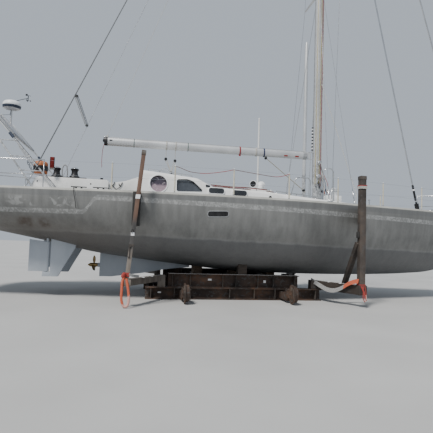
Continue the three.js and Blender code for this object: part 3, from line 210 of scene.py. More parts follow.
# Pieces
class Shape:
    """One piece, gathered from tubes, plates and turned parts, each with its paint.

    Outlines, and points that aren't Vectors, are in station X.
    """

    def __init__(self, name, body="yacht"):
        self.name, self.body = name, body
        self.verts, self.faces, self.slots, self.paints = [], [], [], []

    def add(self, verts, faces, paint):
        base = len(self.verts)
        self.verts += [tuple(v) for v in verts]
        self.faces += [[base + i for i in face] for face in faces]
        if paint not in self.paints:
            self.paints.append(paint)
        self.slots += [self.paints.index(paint)] * len(faces)

    def skin(self, rings, paint, closed=False):
        """Rings of points, joined in order and capped unless closed."""
        n, m = len(rings[0]), len(rings)
        faces = [(i * n + j, i * n + (j + 1) % n, ((i + 1) % m) * n + (j + 1) % n, ((i + 1) % m) * n + j)
                 for i in range(m if closed else m - 1) for j in range(n)]
        if not closed:
            faces += [tuple(range(n)), tuple(range((m - 1) * n, m * n))]
        self.add([p for ring in rings for p in ring], faces, paint)

    def tube(self, points, r, paint, sides=8, closed=False):
        """A tube along points, with one radius or a list of them."""
        points = [placed(p) for p in points]
        count = len(points)
        radii = r if isinstance(r, (list, tuple)) else [r] * count
        if closed:
            ways = [(points[(i + 1) % count] - points[i - 1]).normalized() for i in range(count)]
        else:
            ways = along(points)
        up = Vector((0, 0, 1)) if abs(ways[0].z) < 0.9 else Vector((0, 1, 0))
        rings = []
        for p, way, radius in zip(points, ways, radii):
            side = up.cross(way).normalized()
            up = way.cross(side)
            rings.append([p + side * radius * math.cos(a) + up * radius * math.sin(a)
                          for a in (2 * math.pi * (j + 0.5) / sides for j in range(sides))])
        self.skin(rings, paint, closed)

    def ribbon(self, points, width, thick, across, paint):
        """A strap along points, its width kept along one direction."""
        points = [placed(p) for p in points]
        wide = Vector(across).normalized() * width / 2
        rings = []
        for p, way in zip(points, along(points)):
            deep = way.cross(wide).normalized() * thick / 2
            rings.append([p - wide - deep, p + wide - deep, p + wide + deep, p - wide + deep])
        self.skin(rings, paint)

    def turn(self, profile, centre, paint, axis=UP, sides=24):
        """A turned part: pairs of radius and height along an axis from a centre."""
        centre = placed(centre)
        spin = Vector(UP).rotation_difference(Vector(axis).normalized())
        verts, rings, faces = [], [], []
        for r, h in profile:
            spins = angles(sides) if r > 1e-6 else [0.0]
            rings.append([len(verts) + j for j in range(len(spins))])
            verts += [centre + spin @ Vector((r * math.cos(a), r * math.sin(a), h)) for a in spins]
        for low, high in zip(rings, rings[1:]):
            for j in range(sides):
                k = (j + 1) % sides
                face = [low[j % len(low)], low[k % len(low)], high[k % len(high)], high[j % len(high)]]
                face = list(dict.fromkeys(face))
                if len(face) > 2:
                    faces.append(face)
        for ring in (rings[0], rings[-1]):
            if len(ring) > 1:
                faces.append(ring)
        self.add(verts, faces, paint)

    def solid(self, verts, faces, paint, soft):
        """A closed body whose sharp edges are rounded by soft."""
        work = bmesh.new()
        made = [work.verts.new(v) for v in verts]
        for face in faces:
            work.faces.new([made[i] for i in face])
        bmesh.ops.recalc_face_normals(work, faces=work.faces)
        if soft:
            sharp = [e for e in work.edges if e.calc_face_angle(0) > 0.5]
            bmesh.ops.bevel(work, geom=sharp, offset=soft, segments=2, affect="EDGES", profile=0.5,
                            clamp_overlap=True)
        work.verts.index_update()
        self.add([v.co.copy() for v in work.verts], [[v.index for v in f.verts] for f in work.faces], paint)
        work.free()

    def box(self, low, high, paint, soft=0.004):
        """A box from corner to corner."""
        (x0, y0, z0), (x1, y1, z1) = placed(low), placed(high)
        verts = [Vector((x, y, z)) for z in (z0, z1) for x, y in ((x0, y0), (x1, y0), (x1, y1), (x0, y1))]
        self.solid(verts, BOX_FACES, paint, soft)

    def bar(self, p, q, wide, deep, paint, soft=0.004):
        """A square bar from p to q."""
        way = (q - p).normalized()
        side = Vector(UP).cross(way).normalized()
        up = way.cross(side)
        verts = [c + side * a * wide / 2 + up * b * deep / 2 for c in (p, q) for a, b in SQUARE]
        self.solid(verts, BOX_FACES, paint, soft)

    def plate(self, outline, low, high, paint, plane="xz", soft=0.0):
        """An outline given thickness from low to high along the axis that its plane leaves out."""
        order = {"xz": (0, 2, 1), "xy": (0, 1, 2), "yz": (2, 0, 1)}[plane]
        n = len(outline)
        verts = [at(*((*p, c)[i] for i in order)) for c in (low, high) for p in outline]
        faces = [tuple(range(n)), tuple(range(n, 2 * n))]
        faces += [(i, (i + 1) % n, n + (i + 1) % n, n + i) for i in range(n)]
        self.solid(verts, faces, paint, soft)

    def pane(self, outline, surface, side, paint, lift):
        """A flat sheet that fills an outline in X and Z and follows a side surface."""
        rings = [[at(p.x, side * (surface(*p) + out), p.y) for p in outline] for out in (lift - SUNK, lift)]
        self.skin(rings, paint)

    def rim(self, outline, surface, side, paint, width, proud):
        """A raised frame around an outline in X and Z, following a side surface."""
        section = ((0, -SUNK), (0, proud), (0.3, proud * 1.15), (0.85, proud * 0.9), (1, proud * 0.4),
                   (1, -SUNK))
        rings = [[at(p.x, side * (surface(*p) + rise), p.y) for p in grown(outline, out * width)]
                 for out, rise in section]
        self.skin([[ring[i] for ring in rings] for i in range(len(outline))], paint, closed=True)

    def cutter(self):
        """The shape as a tool for carving, with no paint."""
        self.paints = []
        return self.build(ride=False)

    def build(self, replaces=(), slot=None, ride=True):
        mesh = bpy.data.meshes.new(self.name)
        mesh.from_pydata(self.verts, [], self.faces)
        for paint in self.paints:
            mesh.materials.append(paint)
        mesh.polygons.foreach_set("material_index", self.slots)
        work = bmesh.new()
        work.from_mesh(mesh)
        bmesh.ops.recalc_face_normals(work, faces=work.faces)
        work.to_mesh(mesh)
        work.free()
        piece = bpy.data.objects.new(self.name, mesh)
        bpy.context.scene.collection.objects.link(piece)
        smoothed(piece)
        if ride:
            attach(piece, self.body)
        if replaces:
            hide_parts(*replaces)
        return piece


def smoothed(piece, sharp=35):
    mesh = piece.data
    mesh.polygons.foreach_set("use_smooth", [True] * len(mesh.polygons))
    mesh.set_sharp_from_angle(angle=math.radians(sharp))


def carve(piece, tools):
    """Cuts the tools out of a piece and removes them."""
    for tool in tools:
        step = piece.modifiers.new("carve", "BOOLEAN")
        step.operation, step.object, step.solver = "DIFFERENCE", tool, "EXACT"
    graph = bpy.context.evaluated_depsgraph_get()
    shaped = bpy.data.meshes.new_from_object(piece.evaluated_get(graph))
    piece.modifiers.clear()
    piece.data = shaped
    for tool in tools:
        bpy.data.objects.remove(tool)


def block(low, high):
    """A plain box for carving."""
    tool = Shape("tool")
    tool.box(low, high, None, soft=0)
    return tool.cutter()


def prism(outline, low, high):
    """An outline in X and Z, from one Y to another, for carving."""
    tool = Shape("tool")
    tool.plate(outline, low, high, None)
    return tool.cutter()


def repaint(piece, paints, choose):
    """Gives each face the paint whose number choose(centre, normal) returns."""
    mesh = piece.data
    mesh.materials.clear()
    for paint in paints:
        mesh.materials.append(paint)
    mesh.polygons.foreach_set("material_index", [choose(f.center, f.normal) for f in mesh.polygons])


# Paints
class Paint:
    """A procedural material, whose patterns follow the object's own coordinates."""

    def __init__(self, name, metal=0.0, rough=0.5, **sockets):
        self.made = bpy.data.materials.new(name)
        self.made.use_nodes = True
        self.tree = self.made.node_tree
        self.shader = self.tree.nodes["Principled BSDF"]
        sockets.update({"Metallic": metal, "Roughness": rough})
        for key, value in sockets.items():
            self.shader.inputs[key.replace("_", " ")].default_value = value
        self.place = self.tree.nodes.new("ShaderNodeTexCoord").outputs["Object"]

    def wire(self, socket, value):
        if isinstance(value, bpy.types.NodeSocket):
            self.tree.links.new(value, socket)
        elif socket.type == "RGBA":
            socket.default_value = (*value, 1.0) if hasattr(value, "__len__") else (value, value, value, 1.0)
        else:
            socket.default_value = value

    def node(self, kind, *values, **settings):
        made = self.tree.nodes.new("ShaderNode" + kind)
        for key, value in settings.items():
            setattr(made, key, value)
        for socket, value in zip(made.inputs, values):
            if value is not None:
                self.wire(socket, value)
        return made

    def axis(self, letter):
        return self.node("SeparateXYZ", self.place).outputs[letter]

    def noise(self, scale, stretch=(1, 1, 1), detail=3.0, bend=0.0):
        mapped = self.node("Mapping", self.place, None, None, stretch).outputs[0]
        made = self.node("TexNoise")
        self.wire(made.inputs["Vector"], mapped)
        made.inputs["Scale"].default_value = scale
        made.inputs["Detail"].default_value = detail
        made.inputs["Distortion"].default_value = bend
        return made.outputs["Fac"]

    def math(self, how, a, b=0.0, c=0.0):
        return self.node("Math", a, b, c, operation=how).outputs[0]

    def times(self, a, b):
        return self.math("MULTIPLY", a, b)

    def scaled(self, a, by, plus):
        return self.math("MULTIPLY_ADD", a, by, plus)

    def inverse(self, a):
        return self.math("SUBTRACT", 1.0, a)

    def between(self, value, low, high):
        """0 below low, 1 above high, and smooth in between."""
        return self.node("MapRange", value, low, high, interpolation_type="SMOOTHSTEP").outputs[0]

    def band(self, value, low, high, soft):
        """1 between low and high, with soft edges."""
        rise, fall = (self.between(value, *about(edge, soft)) for edge in (low, high))
        return self.times(rise, self.inverse(fall))

    def ramp(self, value, *stops):
        made = self.node("ValToRGB", value)
        points = made.color_ramp.elements
        while len(points) > 1:
            points.remove(points[-1])
        for i, (where, colour) in enumerate(stops):
            point = points[0] if i == 0 else points.new(where)
            point.position = where
            point.color = (*colour, 1) if hasattr(colour, "__len__") else (colour, colour, colour, 1)
        return made.outputs["Color"]

    def mix(self, share, a, b):
        made = self.tree.nodes.new("ShaderNodeMix")
        made.data_type = "RGBA"
        for index, value in ((0, share), (6, a), (7, b)):
            self.wire(made.inputs[index], value)
        return made.outputs[2]

    def colour(self, value):
        self.wire(self.shader.inputs["Base Color"], value)
        return self

    def rough(self, value):
        self.wire(self.shader.inputs["Roughness"], value)
        return self

    def bump(self, height, strength, distance=0.01):
        made = self.tree.nodes.new("ShaderNodeBump")
        made.inputs["Strength"].default_value = strength
        made.inputs["Distance"].default_value = distance
        self.wire(made.inputs["Height"], height)
        self.wire(self.shader.inputs["Normal"], made.outputs[0])
        return self


def weathered(name, dark, light, scale, stretch=(1, 1, 1), metal=0.0, rough=0.5, grain=60.0, dent=0.15):
    """A finish that wanders between two colours, with fine grain in its bump and gloss."""
    paint = Paint(name, metal, rough)
    wander = paint.noise(scale, stretch, 5.0)
    paint.colour(paint.ramp(wander, (0.3, dark), (0.7, light)))
    fine = paint.noise(grain, (1, 1, 1), 2.0)
    paint.rough(paint.scaled(fine, 0.24, rough - 0.12))
    return paint.bump(fine, dent, 0.004).made


def hull_plate():
    """Bare aluminium plate, streaked and stained, with the ghost of a stripe that was taken off."""
    paint = Paint("hull_plate", metal=0.35, rough=0.5)
    x, z = paint.axis("X"), paint.axis("Z")
    streak = paint.noise(1.0, (7.0, 7.0, 0.35), 5.0)
    cloud = paint.noise(0.55, (1, 1, 1.3), 6.0, 0.6)
    base = paint.ramp(streak, (0.25, (0.150, 0.152, 0.148)), (0.75, (0.265, 0.268, 0.260)))
    base = paint.mix(0.35, base, paint.ramp(cloud, (0.35, (0.13, 0.132, 0.13)), (0.65, (0.30, 0.30, 0.29))))
    # The waterline falls slightly towards the bow. Below it the plate is darker and bluer: partly its own
    # colour under the waterline, partly painted shade on the bottom, which faces down
    level = paint.scaled(x, WATERLINE_FALL, z)
    ragged = paint.scaled(paint.noise(2.2, (1, 1, 0.6), 6.0), 0.10, -0.05)
    level = paint.math("ADD", level, ragged)
    below = paint.inverse(paint.between(level, WATERLINE, WATERLINE + 0.04))
    base = paint.mix(paint.times(below, 0.6), base, (0.108, 0.113, 0.122))
    mark = paint.times(paint.band(level, WATERLINE, WATERLINE + 0.07, 0.02), 0.16)
    base = paint.mix(mark, base, (0.33, 0.335, 0.35))
    # Brown stain towards the stern and the bottom
    aft = paint.inverse(paint.between(x, -6.5, -2.0))
    low = paint.inverse(paint.between(z, 1.5, 2.35))
    stain = paint.times(paint.times(aft, low), 0.7)
    base = paint.mix(stain, base, (0.118, 0.100, 0.083))
    # Rusty runs below the stern
    for x0, x1 in RUNS:
        run = paint.times(paint.band(x, fx(x0), fx(x1), 0.10), paint.band(z, 1.80, 2.04, 0.06))
        run = paint.times(run, paint.between(streak, 0.30, 0.62))
        base = paint.mix(paint.times(run, 0.75), base, (0.075, 0.052, 0.040))
    # Ghosted stripe: lower at the stern, then up a step and on to the bow, patchy white
    patch = paint.between(paint.noise(13.0, (1.0, 1.0, 0.8), 5.0, 1.2), 0.47, 0.58)
    fore = paint.between(x, STEP_AFT, STEP_FORE)
    fall = paint.times(fore, paint.scaled(x, 0.018, 0.07))
    centre = paint.math("SUBTRACT", paint.scaled(fore, STRIPE_STEP, STRIPE_AFT), fall)
    off = paint.math("ABSOLUTE", paint.math("SUBTRACT", z, centre))
    half = paint.scaled(fore, 0.006, STRIPE_HALF)
    inside = paint.inverse(paint.between(paint.math("SUBTRACT", off, half), -0.012, 0.012))
    strength = paint.times(inside, paint.scaled(patch, 0.40, 0.20))
    base = paint.mix(strength, base, (0.50, 0.505, 0.50))
    blots = paint.between(paint.noise(5.0, (1.0, 1.0, 1.2), 4.0, 0.9), 0.50, 0.60)
    faint = paint.times(paint.band(z, 2.31, 2.54, 0.03), paint.times(blots, 0.42))
    faint = paint.times(faint, paint.band(x, fx(-5.5), fx(-3.95), 0.12))
    base = paint.mix(faint, base, (0.48, 0.485, 0.48))
    # A darker band of plate between the stripe and the deck edge
    sheer = paint.times(paint.band(z, 2.575, 2.69, 0.006), 0.35)
    base = paint.mix(sheer, base, (0.14, 0.145, 0.15))
    paint.colour(base)
    fine = paint.noise(38.0, (1, 1, 0.4), 3.0)
    paint.rough(paint.between(fine, -0.9, 1.6))
    dents = paint.noise(1.6, detail=2.0)
    return paint.bump(dents, 0.35, 0.05).made


def rope_paint(name, dark, light):
    """Laid or braided rope: fine slanting strands."""
    paint = Paint(name, rough=0.85)
    strands = paint.node("TexWave", None, 60.0, 4.0, 2.0, 8.0, bands_direction="DIAGONAL").outputs["Fac"]
    dirt = paint.noise(9.0)
    paint.colour(paint.mix(paint.times(dirt, 0.5), paint.ramp(strands, (0.2, dark), (0.8, light)), dark))
    return paint.bump(strands, 0.5, 0.002).made


def cell_paint():
    """Dark solar cells with thin pale lines between them."""
    paint = Paint("solar_cells", rough=0.18, Coat_Weight=0.6)
    lines = 0.0
    for letter, step in (("X", 0.132), ("Y", 0.158)):
        near = paint.math("PINGPONG", paint.axis(letter), step / 2)
        lines = paint.math("MAXIMUM", lines, paint.math("LESS_THAN", near, 0.0022))
    fingers = paint.math("LESS_THAN", paint.math("PINGPONG", paint.axis("Y"), 0.006), 0.0008)
    tint = paint.ramp(paint.noise(5.0, detail=2.0), (0.3, (0.006, 0.010, 0.030)),
                      (0.7, (0.012, 0.018, 0.052)))
    base = paint.mix(paint.times(fingers, 0.25), tint, (0.10, 0.12, 0.17))
    return paint.colour(paint.mix(lines, base, (0.45, 0.46, 0.48))).made


def rust_paint(name, dark, brown, bright, worn):
    """Rusty steel with flakes of old paint and brighter runs."""
    paint = Paint(name, metal=0.15, rough=0.85)
    broad = paint.noise(2.6, (1, 1, 1), 6.0, 0.4)
    base = paint.ramp(broad, (0.30, dark), (0.52, brown), (0.75, bright))
    flakes = paint.between(paint.noise(9.0, (1, 1, 1.4), 6.0, 0.8), 0.56, 0.62)
    base = paint.mix(paint.times(flakes, 0.7), base, worn)
    runs = paint.between(paint.noise(6.0, (1.5, 1.5, 0.2), 4.0), 0.58, 0.75)
    paint.colour(paint.mix(paint.times(runs, 0.35), base, dark))
    pits = paint.noise(70.0, detail=4.0)
    paint.rough(paint.scaled(pits, 0.3, 0.6))
    return paint.bump(pits, 0.5, 0.004).made


def timber_paint():
    paint = Paint("timber", rough=0.85)
    grain = paint.noise(5.0, (7.0, 1.0, 7.0), 6.0, 1.2)
    stain = paint.noise(1.8, detail=4.0)
    wood = paint.ramp(grain, (0.3, (0.075, 0.045, 0.026)), (0.7, (0.23, 0.155, 0.095)))
    paint.colour(paint.mix(paint.times(stain, 0.6), wood, (0.12, 0.10, 0.08)))
    return paint.bump(grain, 0.5, 0.006).made


def glazing_paint():
    """Dark tinted sheet behind the side windows. The round window's part of it is a paler mauve."""
    paint = Paint("window_glass", rough=0.07, Coat_Weight=0.4)
    x, z = paint.axis("X"), paint.axis("Z")
    high = paint.between(paint.math("ADD", z, paint.scaled(paint.noise(7.0), 0.10, -0.05)), 3.0, 3.09)
    mauve = paint.mix(high, (0.30, 0.225, 0.265), (0.050, 0.040, 0.058))
    blobs = paint.between(paint.noise(16.0, detail=2.0), 0.60, 0.66)
    mauve = paint.mix(paint.times(blobs, 0.6), mauve, (0.48, 0.42, 0.45))
    grey = paint.ramp(paint.noise(3.0), (0.3, (0.036, 0.042, 0.052)), (0.7, (0.085, 0.096, 0.112)))
    return paint.colour(paint.mix(paint.between(x, fx(-1.62), fx(-1.58)), mauve, grey)).made


def mottled_paint():
    """The silver of the spars, with grey patches of old tape and salt low on the mast."""
    paint = Paint("spar_silver", metal=0.55, rough=0.42)
    z = paint.axis("Z")
    fine = paint.noise(30.0, (1, 1, 0.3), 3.0)
    silver = paint.ramp(paint.noise(1.4, (1, 1, 0.5), 3.0), (0.3, (0.50, 0.51, 0.52)),
                        (0.7, (0.68, 0.69, 0.70)))
    patches = paint.between(paint.noise(14.0, (1, 1, 0.7), 4.0, 1.0), 0.46, 0.56)
    low = paint.inverse(paint.between(z, 4.05, 4.22))
    paint.colour(paint.mix(paint.times(low, paint.times(patches, 0.55)), silver, (0.17, 0.175, 0.18)))
    paint.rough(paint.scaled(fine, 0.2, 0.32))
    return paint.bump(fine, 0.1, 0.003).made


def aft_post_paint():
    """Brown with rust at its top, dark grey in the middle, pale with dust at the foot."""
    paint = Paint("aft_post_paint", metal=0.15, rough=0.65)
    z = paint.axis("Z")
    wander = paint.noise(7.0, (1, 1, 0.4), 5.0)
    brown = paint.ramp(wander, (0.3, (0.058, 0.031, 0.021)), (0.7, (0.135, 0.075, 0.050)))
    grey = paint.ramp(wander, (0.3, (0.026, 0.025, 0.025)), (0.7, (0.062, 0.059, 0.057)))
    pale = paint.ramp(wander, (0.3, (0.105, 0.088, 0.074)), (0.7, (0.200, 0.175, 0.150)))
    lower = paint.mix(paint.between(z, 1.15, 1.45), pale, grey)
    paint.colour(paint.mix(paint.between(z, 1.90, 2.15), lower, brown))
    return paint.bump(wander, 0.25, 0.01).made


# Finishes
PLATE = hull_plate()
DECK_GRIP = weathered("deck_grip", (0.33, 0.34, 0.34), (0.45, 0.46, 0.45), 1.3, grain=420, dent=0.5,
                      rough=0.8)
WHITE = weathered("white_paint", (0.70, 0.70, 0.685), (0.84, 0.84, 0.83), 2.2, (1, 1, 0.4), rough=0.45,
                  grain=90)
CREAM = weathered("cabin_lining", (0.50, 0.47, 0.40), (0.60, 0.57, 0.50), 1.5, rough=0.6)
PRIMER = weathered("underwater_paint", (0.33, 0.37, 0.42), (0.46, 0.50, 0.55), 1.6, (1, 1, 0.35), rough=0.6)
GLASS = glazing_paint()
DARK_GLASS = weathered("dark_glass", (0.012, 0.014, 0.017), (0.034, 0.038, 0.044), 2.0, rough=0.12, dent=0.02)
BLACK = weathered("black_metal", (0.010, 0.010, 0.012), (0.030, 0.030, 0.033), 8.0, metal=0.3, rough=0.4)
RUBBER = weathered("rubber", (0.012, 0.012, 0.012), (0.038, 0.037, 0.035), 6.0, rough=0.85)
STAINLESS = weathered("stainless", (0.52, 0.53, 0.54), (0.68, 0.69, 0.70), 3.0, metal=1.0, rough=0.25,
                      dent=0.03)
GALVANISED = weathered("galvanised", (0.30, 0.31, 0.32), (0.46, 0.47, 0.48), 18.0, metal=0.6, rough=0.5)
SPAR = mottled_paint()
BRONZE = weathered("bronze", (0.20, 0.13, 0.055), (0.42, 0.30, 0.13), 7.0, metal=0.8, rough=0.45)
CELLS = cell_paint()
ORANGE = weathered("orange_plastic", (0.33, 0.10, 0.035), (0.50, 0.17, 0.06), 7.0, rough=0.6)
NAVY = weathered("dark_blue", (0.015, 0.025, 0.05), (0.035, 0.05, 0.085), 5.0, rough=0.5)
MOULDED = weathered("white_plastic", (0.74, 0.75, 0.76), (0.86, 0.87, 0.88), 2.0, rough=0.35, dent=0.04)
RUST = rust_paint("rusty_steel", (0.020, 0.014, 0.012), (0.060, 0.038, 0.028), (0.14, 0.075, 0.045),
                  (0.075, 0.075, 0.075))
GREY_STEEL = rust_paint("grey_steel", (0.035, 0.030, 0.028), (0.085, 0.070, 0.060), (0.15, 0.11, 0.08),
                        (0.16, 0.16, 0.155))
AFT_POST_PAINT = aft_post_paint()
TIMBER = timber_paint()
DARK_TIMBER = weathered("dark_timber", (0.022, 0.018, 0.015), (0.065, 0.050, 0.040), 4.0, (1, 1, 5),
                        rough=0.9, dent=0.4)
POST_PAINT = rust_paint("post_paint", (0.026, 0.022, 0.020), (0.050, 0.040, 0.034), (0.085, 0.065, 0.052),
                        (0.065, 0.062, 0.060))
TOE = weathered("toe_rail", (0.40, 0.395, 0.36), (0.66, 0.655, 0.61), 5.0, (0.3, 1, 1), rough=0.6)
SLEEVE = weathered("stanchion_sleeve", (0.50, 0.47, 0.38), (0.62, 0.59, 0.49), 9.0, rough=0.6, dent=0.05)
DARK_WIRE = weathered("dark_wire", (0.10, 0.105, 0.11), (0.20, 0.205, 0.21), 30.0, metal=0.3, rough=0.5)
ROPE_COLOURS = {
    "white": ((0.34, 0.33, 0.30), (0.66, 0.65, 0.61)), "red": ((0.16, 0.012, 0.015), (0.46, 0.035, 0.04)),
    "green": ((0.010, 0.045, 0.03), (0.03, 0.13, 0.085)), "blue": ((0.010, 0.016, 0.05), (0.03, 0.05, 0.15)),
    "yellow": ((0.33, 0.26, 0.05), (0.62, 0.52, 0.14)), "black": ((0.008, 0.008, 0.009), (0.03, 0.03, 0.032)),
}
STRAP_COLOURS = {
    "orange": ((0.42, 0.075, 0.035), (0.66, 0.16, 0.08)), "grey": ((0.20, 0.20, 0.20), (0.42, 0.42, 0.41)),
    "brown": ((0.10, 0.05, 0.04), (0.24, 0.13, 0.10)), "red": ((0.26, 0.03, 0.025), (0.45, 0.07, 0.055)),
    "pink": ((0.50, 0.26, 0.22), (0.66, 0.42, 0.37)),
}
ROPES = {name: rope_paint(name + "_rope", *pair) for name, pair in ROPE_COLOURS.items()}
STRAPS = {name: rope_paint(name + "_strap", *pair) for name, pair in STRAP_COLOURS.items()}

# Each paint with its CAD nodes, how far their edges are rounded and up to which angle they are shaded round
DRESS = {
    PRIMER: (("stub_keel", *both("skeg"), *both("rudder")), 0.004, 40),
    BRONZE: (("propeller",), 0.0, 50),
    GLASS: (both("glazing"), 0.0, 30),
    DARK_GLASS: (("fore_hatch", "saloon_hatch"), 0.004, 30),
    WHITE: (("cabin_door", "cockpit_coaming", "helm_pedestal", "deck_pole"), 0.012, 40),
    MOULDED: (("vent_capsule",), 0.004, 40),
    STAINLESS: (("windlass", *both("guardrail"), "bow_pulpit", "stern_rail", "forestay", "inner_forestay",
                 *both("backstay"), *both("shrouds"), *both("mast_rail")), 0.0, 75),
    SPAR: (("gantry", "mast", "boom", "stowed_pole"), 0.0, 50),
    CELLS: (("solar_panel",), 0.003, 30),
    ROPES["white"]: (("topping_lift",), 0.0, 75),
    RUST: (("carriage_lower", "carriage_upper", *both("rail_wheel_aft"), *both("rail_wheel_fore")),
           0.004, 35),
    AFT_POST_PAINT: (both("post_aft"), 0.004, 35),
    POST_PAINT: (both("post_fore"), 0.004, 35),
    TIMBER: (("keel_block_1", "keel_block_2", "keel_block_3"), 0.006, 30),
    DARK_TIMBER: (both("bilge_block"), 0.006, 30),
}


def shading(angle):
    """A modifier's node group that shades a mesh round up to an angle."""
    group = bpy.data.node_groups.new(f"round_below_{angle}", "GeometryNodeTree")
    for way in ("INPUT", "OUTPUT"):
        group.interface.new_socket("Geometry", in_out=way, socket_type="NodeSocketGeometry")
    start, end = group.nodes.new("NodeGroupInput"), group.nodes.new("NodeGroupOutput")
    plain = group.nodes.new("GeometryNodeRemoveAttribute")
    plain.inputs["Name"].default_value = "custom_normal"
    bend = group.nodes.new("GeometryNodeInputMeshEdgeAngle")
    above = group.nodes.new("FunctionNodeCompare")
    above.operation = "GREATER_THAN"
    above.inputs[1].default_value = math.radians(angle)
    faces, edges = (group.nodes.new("GeometryNodeSetShadeSmooth") for _ in range(2))
    edges.domain = "EDGE"
    edges.inputs["Shade Smooth"].default_value = False
    link = group.links.new
    link(start.outputs[0], plain.inputs["Geometry"])
    link(plain.outputs[0], faces.inputs["Geometry"])
    link(faces.outputs[0], edges.inputs["Geometry"])
    link(bend.outputs["Unsigned Angle"], above.inputs[0])
    link(above.outputs[0], edges.inputs["Selection"])
    link(edges.outputs[0], end.inputs[0])
    return group


def dress_nodes():
    groups = {}
    for paint, (names, soft, angle) in DRESS.items():
        for name in names:
            node = nodes[name]
            node.data.materials.clear()
            node.data.materials.append(paint)
            weld = node.modifiers.new("weld", "WELD")
            weld.merge_threshold = 0.0001
            if soft:
                bevel = node.modifiers.new("bevel", "BEVEL")
                bevel.width, bevel.segments, bevel.limit_method = soft, 2, "ANGLE"
                bevel.angle_limit = math.radians(40)
            if angle not in groups:
                groups[angle] = shading(angle)
            node.modifiers.new("shade", "NODES").node_group = groups[angle]
    for side in ("starboard", "port"):
        repaint(nodes[f"guardrail_{side}"], [STAINLESS, TOE], lambda c, n: int(c.z < DECK + 0.055))
        for end, paint, inner, outer in (("aft", AFT_POST_PAINT, 2.56, 2.685), ("fore", POST_PAINT, 2.5, 0)):
            repaint(nodes[f"post_{end}_{side}"], [paint, RUBBER],
                    lambda c, n: int(1.85 < c.z < 2.75
                                     and (abs(c.y) < inner or abs(n.y) > 0.999 and abs(c.y) < outer)))
    for stay in ("forestay", "inner_forestay"):
        repaint(nodes[stay], [STAINLESS, BLACK], lambda c, n: int(2.9 < c.z < 3.12))
    repaint(nodes["backstay_starboard"], [DARK_WIRE], lambda c, n: 0)


# Camera, floor and light
def make_stage():
    yaw, pitch, roll = (math.radians(a) for a in CAMERA_TURN)
    forward = Vector((math.sin(yaw) * math.cos(pitch), math.cos(yaw) * math.cos(pitch), math.sin(pitch)))
    right = Vector((math.cos(yaw), -math.sin(yaw), 0))
    up = right.cross(forward)
    across = right * math.cos(roll) + up * math.sin(roll)
    over = up * math.cos(roll) - right * math.sin(roll)
    data = bpy.data.cameras.new("camera")
    data.sensor_width, data.lens, data.clip_end = 36, FOCAL, 400
    camera = bpy.data.objects.new("camera", data)
    turn = Matrix((across, over, -forward)).transposed().to_4x4()
    camera.matrix_world = Matrix.Translation(CAMERA_PLACE) @ turn
    bpy.context.scene.collection.objects.link(camera)
    bpy.context.scene.camera = camera

    mesh = bpy.data.meshes.new("floor")
    mesh.from_pydata([(a * FLOOR_HALF, b * FLOOR_HALF, -0.001) for a, b in SQUARE], [], [(0, 1, 2, 3)])
    mesh.materials.append(weathered("floor", (0.40, 0.40, 0.395), (0.46, 0.46, 0.455), 0.4, rough=0.9))
    floor = bpy.data.objects.new("floor", mesh)
    lamp = bpy.data.lights.new("sun", "SUN")
    lamp.energy, lamp.angle, lamp.color = 4.0, 0.20, (1.0, 0.97, 0.92)
    sun = bpy.data.objects.new("sun", lamp)
    sun.rotation_mode = "QUATERNION"
    sun.rotation_quaternion = Vector((-0.5, -0.55, 1.05)).to_track_quat("Z", "Y")
    for item in (floor, sun):
        bpy.context.scene.collection.objects.link(item)

    world = bpy.data.worlds.new("world")
    world.use_nodes = True
    back = world.node_tree.nodes["Background"]
    back.inputs["Color"].default_value = (0.56, 0.62, 0.70, 1)
    back.inputs["Strength"].default_value = 0.85
    bpy.context.scene.world = world


# Hull
LINES = spline(STATIONS, 481)


def hull_beam(x):
    return lerp(LINES, x, 1)


def hull_power(x):
    return FULL_BILGE + (SHARP_BOW - FULL_BILGE) * smoothstep(x, BOW_X, STEM_X)


def hull_side(x, z):
    """Half breadth of the hull at a height."""
    bottom = lerp(LINES, x, 2)
    rise = min(1.0, max(0.0, (z - bottom) / (DECK - bottom)))
    cosine = (1 - rise) ** (1 / FULL_BILGE)
    return hull_beam(x) * math.sqrt(1 - cosine ** 2) ** hull_power(x)


def hull_half(x, beam, bottom, steps):
    """The port half of the hull's ring at a station, from the keel line to the deck edge."""
    upright = min(1.0, max(0.0, (x - TRANSOM_X) / (RAKE_FADE_X - TRANSOM_X)))
    half = []
    for k in range(steps + 1):
        a = k / steps * math.pi / 2
        rise = (DECK - bottom) * (1 - abs(math.cos(a)) ** FULL_BILGE)
        raked = x + (1 - upright) * TRANSOM_RAKE * rise
        half.append(at(raked, beam * math.sin(a) ** hull_power(x), bottom + rise))
    return half


def rail_edge(x):
    """Half breadth of the toe rail's line, which runs straight between its points."""
    points = LINES[::15]
    return float(np.interp(x, [p[0] for p in points], [p[1] for p in points]))


def hatch_frame(shape, well, bottom, top):
    """The frame around a hatch well, with two hinge lugs along its forward edge."""
    (x0, y0, _), (x1, y1, _) = well
    wide, lug = 0.04, 0.016
    for low, high in (((x0 - wide, y0 - wide), (x0, y1 + wide)), ((x1, y0 - wide), (x1 + wide, y1 + wide)),
                      ((x0, y0 - wide), (x1, y0)), ((x0, y1), (x1, y1 + wide))):
        shape.box((*low, bottom), (*high, top), GALVANISED, 0.003)
    axis = x1 + 0.074
    for y in (-0.15, 0.15):
        shape.box((x1 + wide, y - lug, bottom), (axis + 0.014, y + lug, top - 0.012), GALVANISED, 0.002)
        shape.tube([(axis, y - lug, top + 0.013), (axis, y + lug, top + 0.013)], 0.016, GALVANISED, 14)


def finished(piece, paints, choose):
    """Paints a carved shell face by face and lets it ride as it is now."""
    repaint(piece, paints, choose)
    smoothed(piece, 32)
    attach(piece, "yacht")


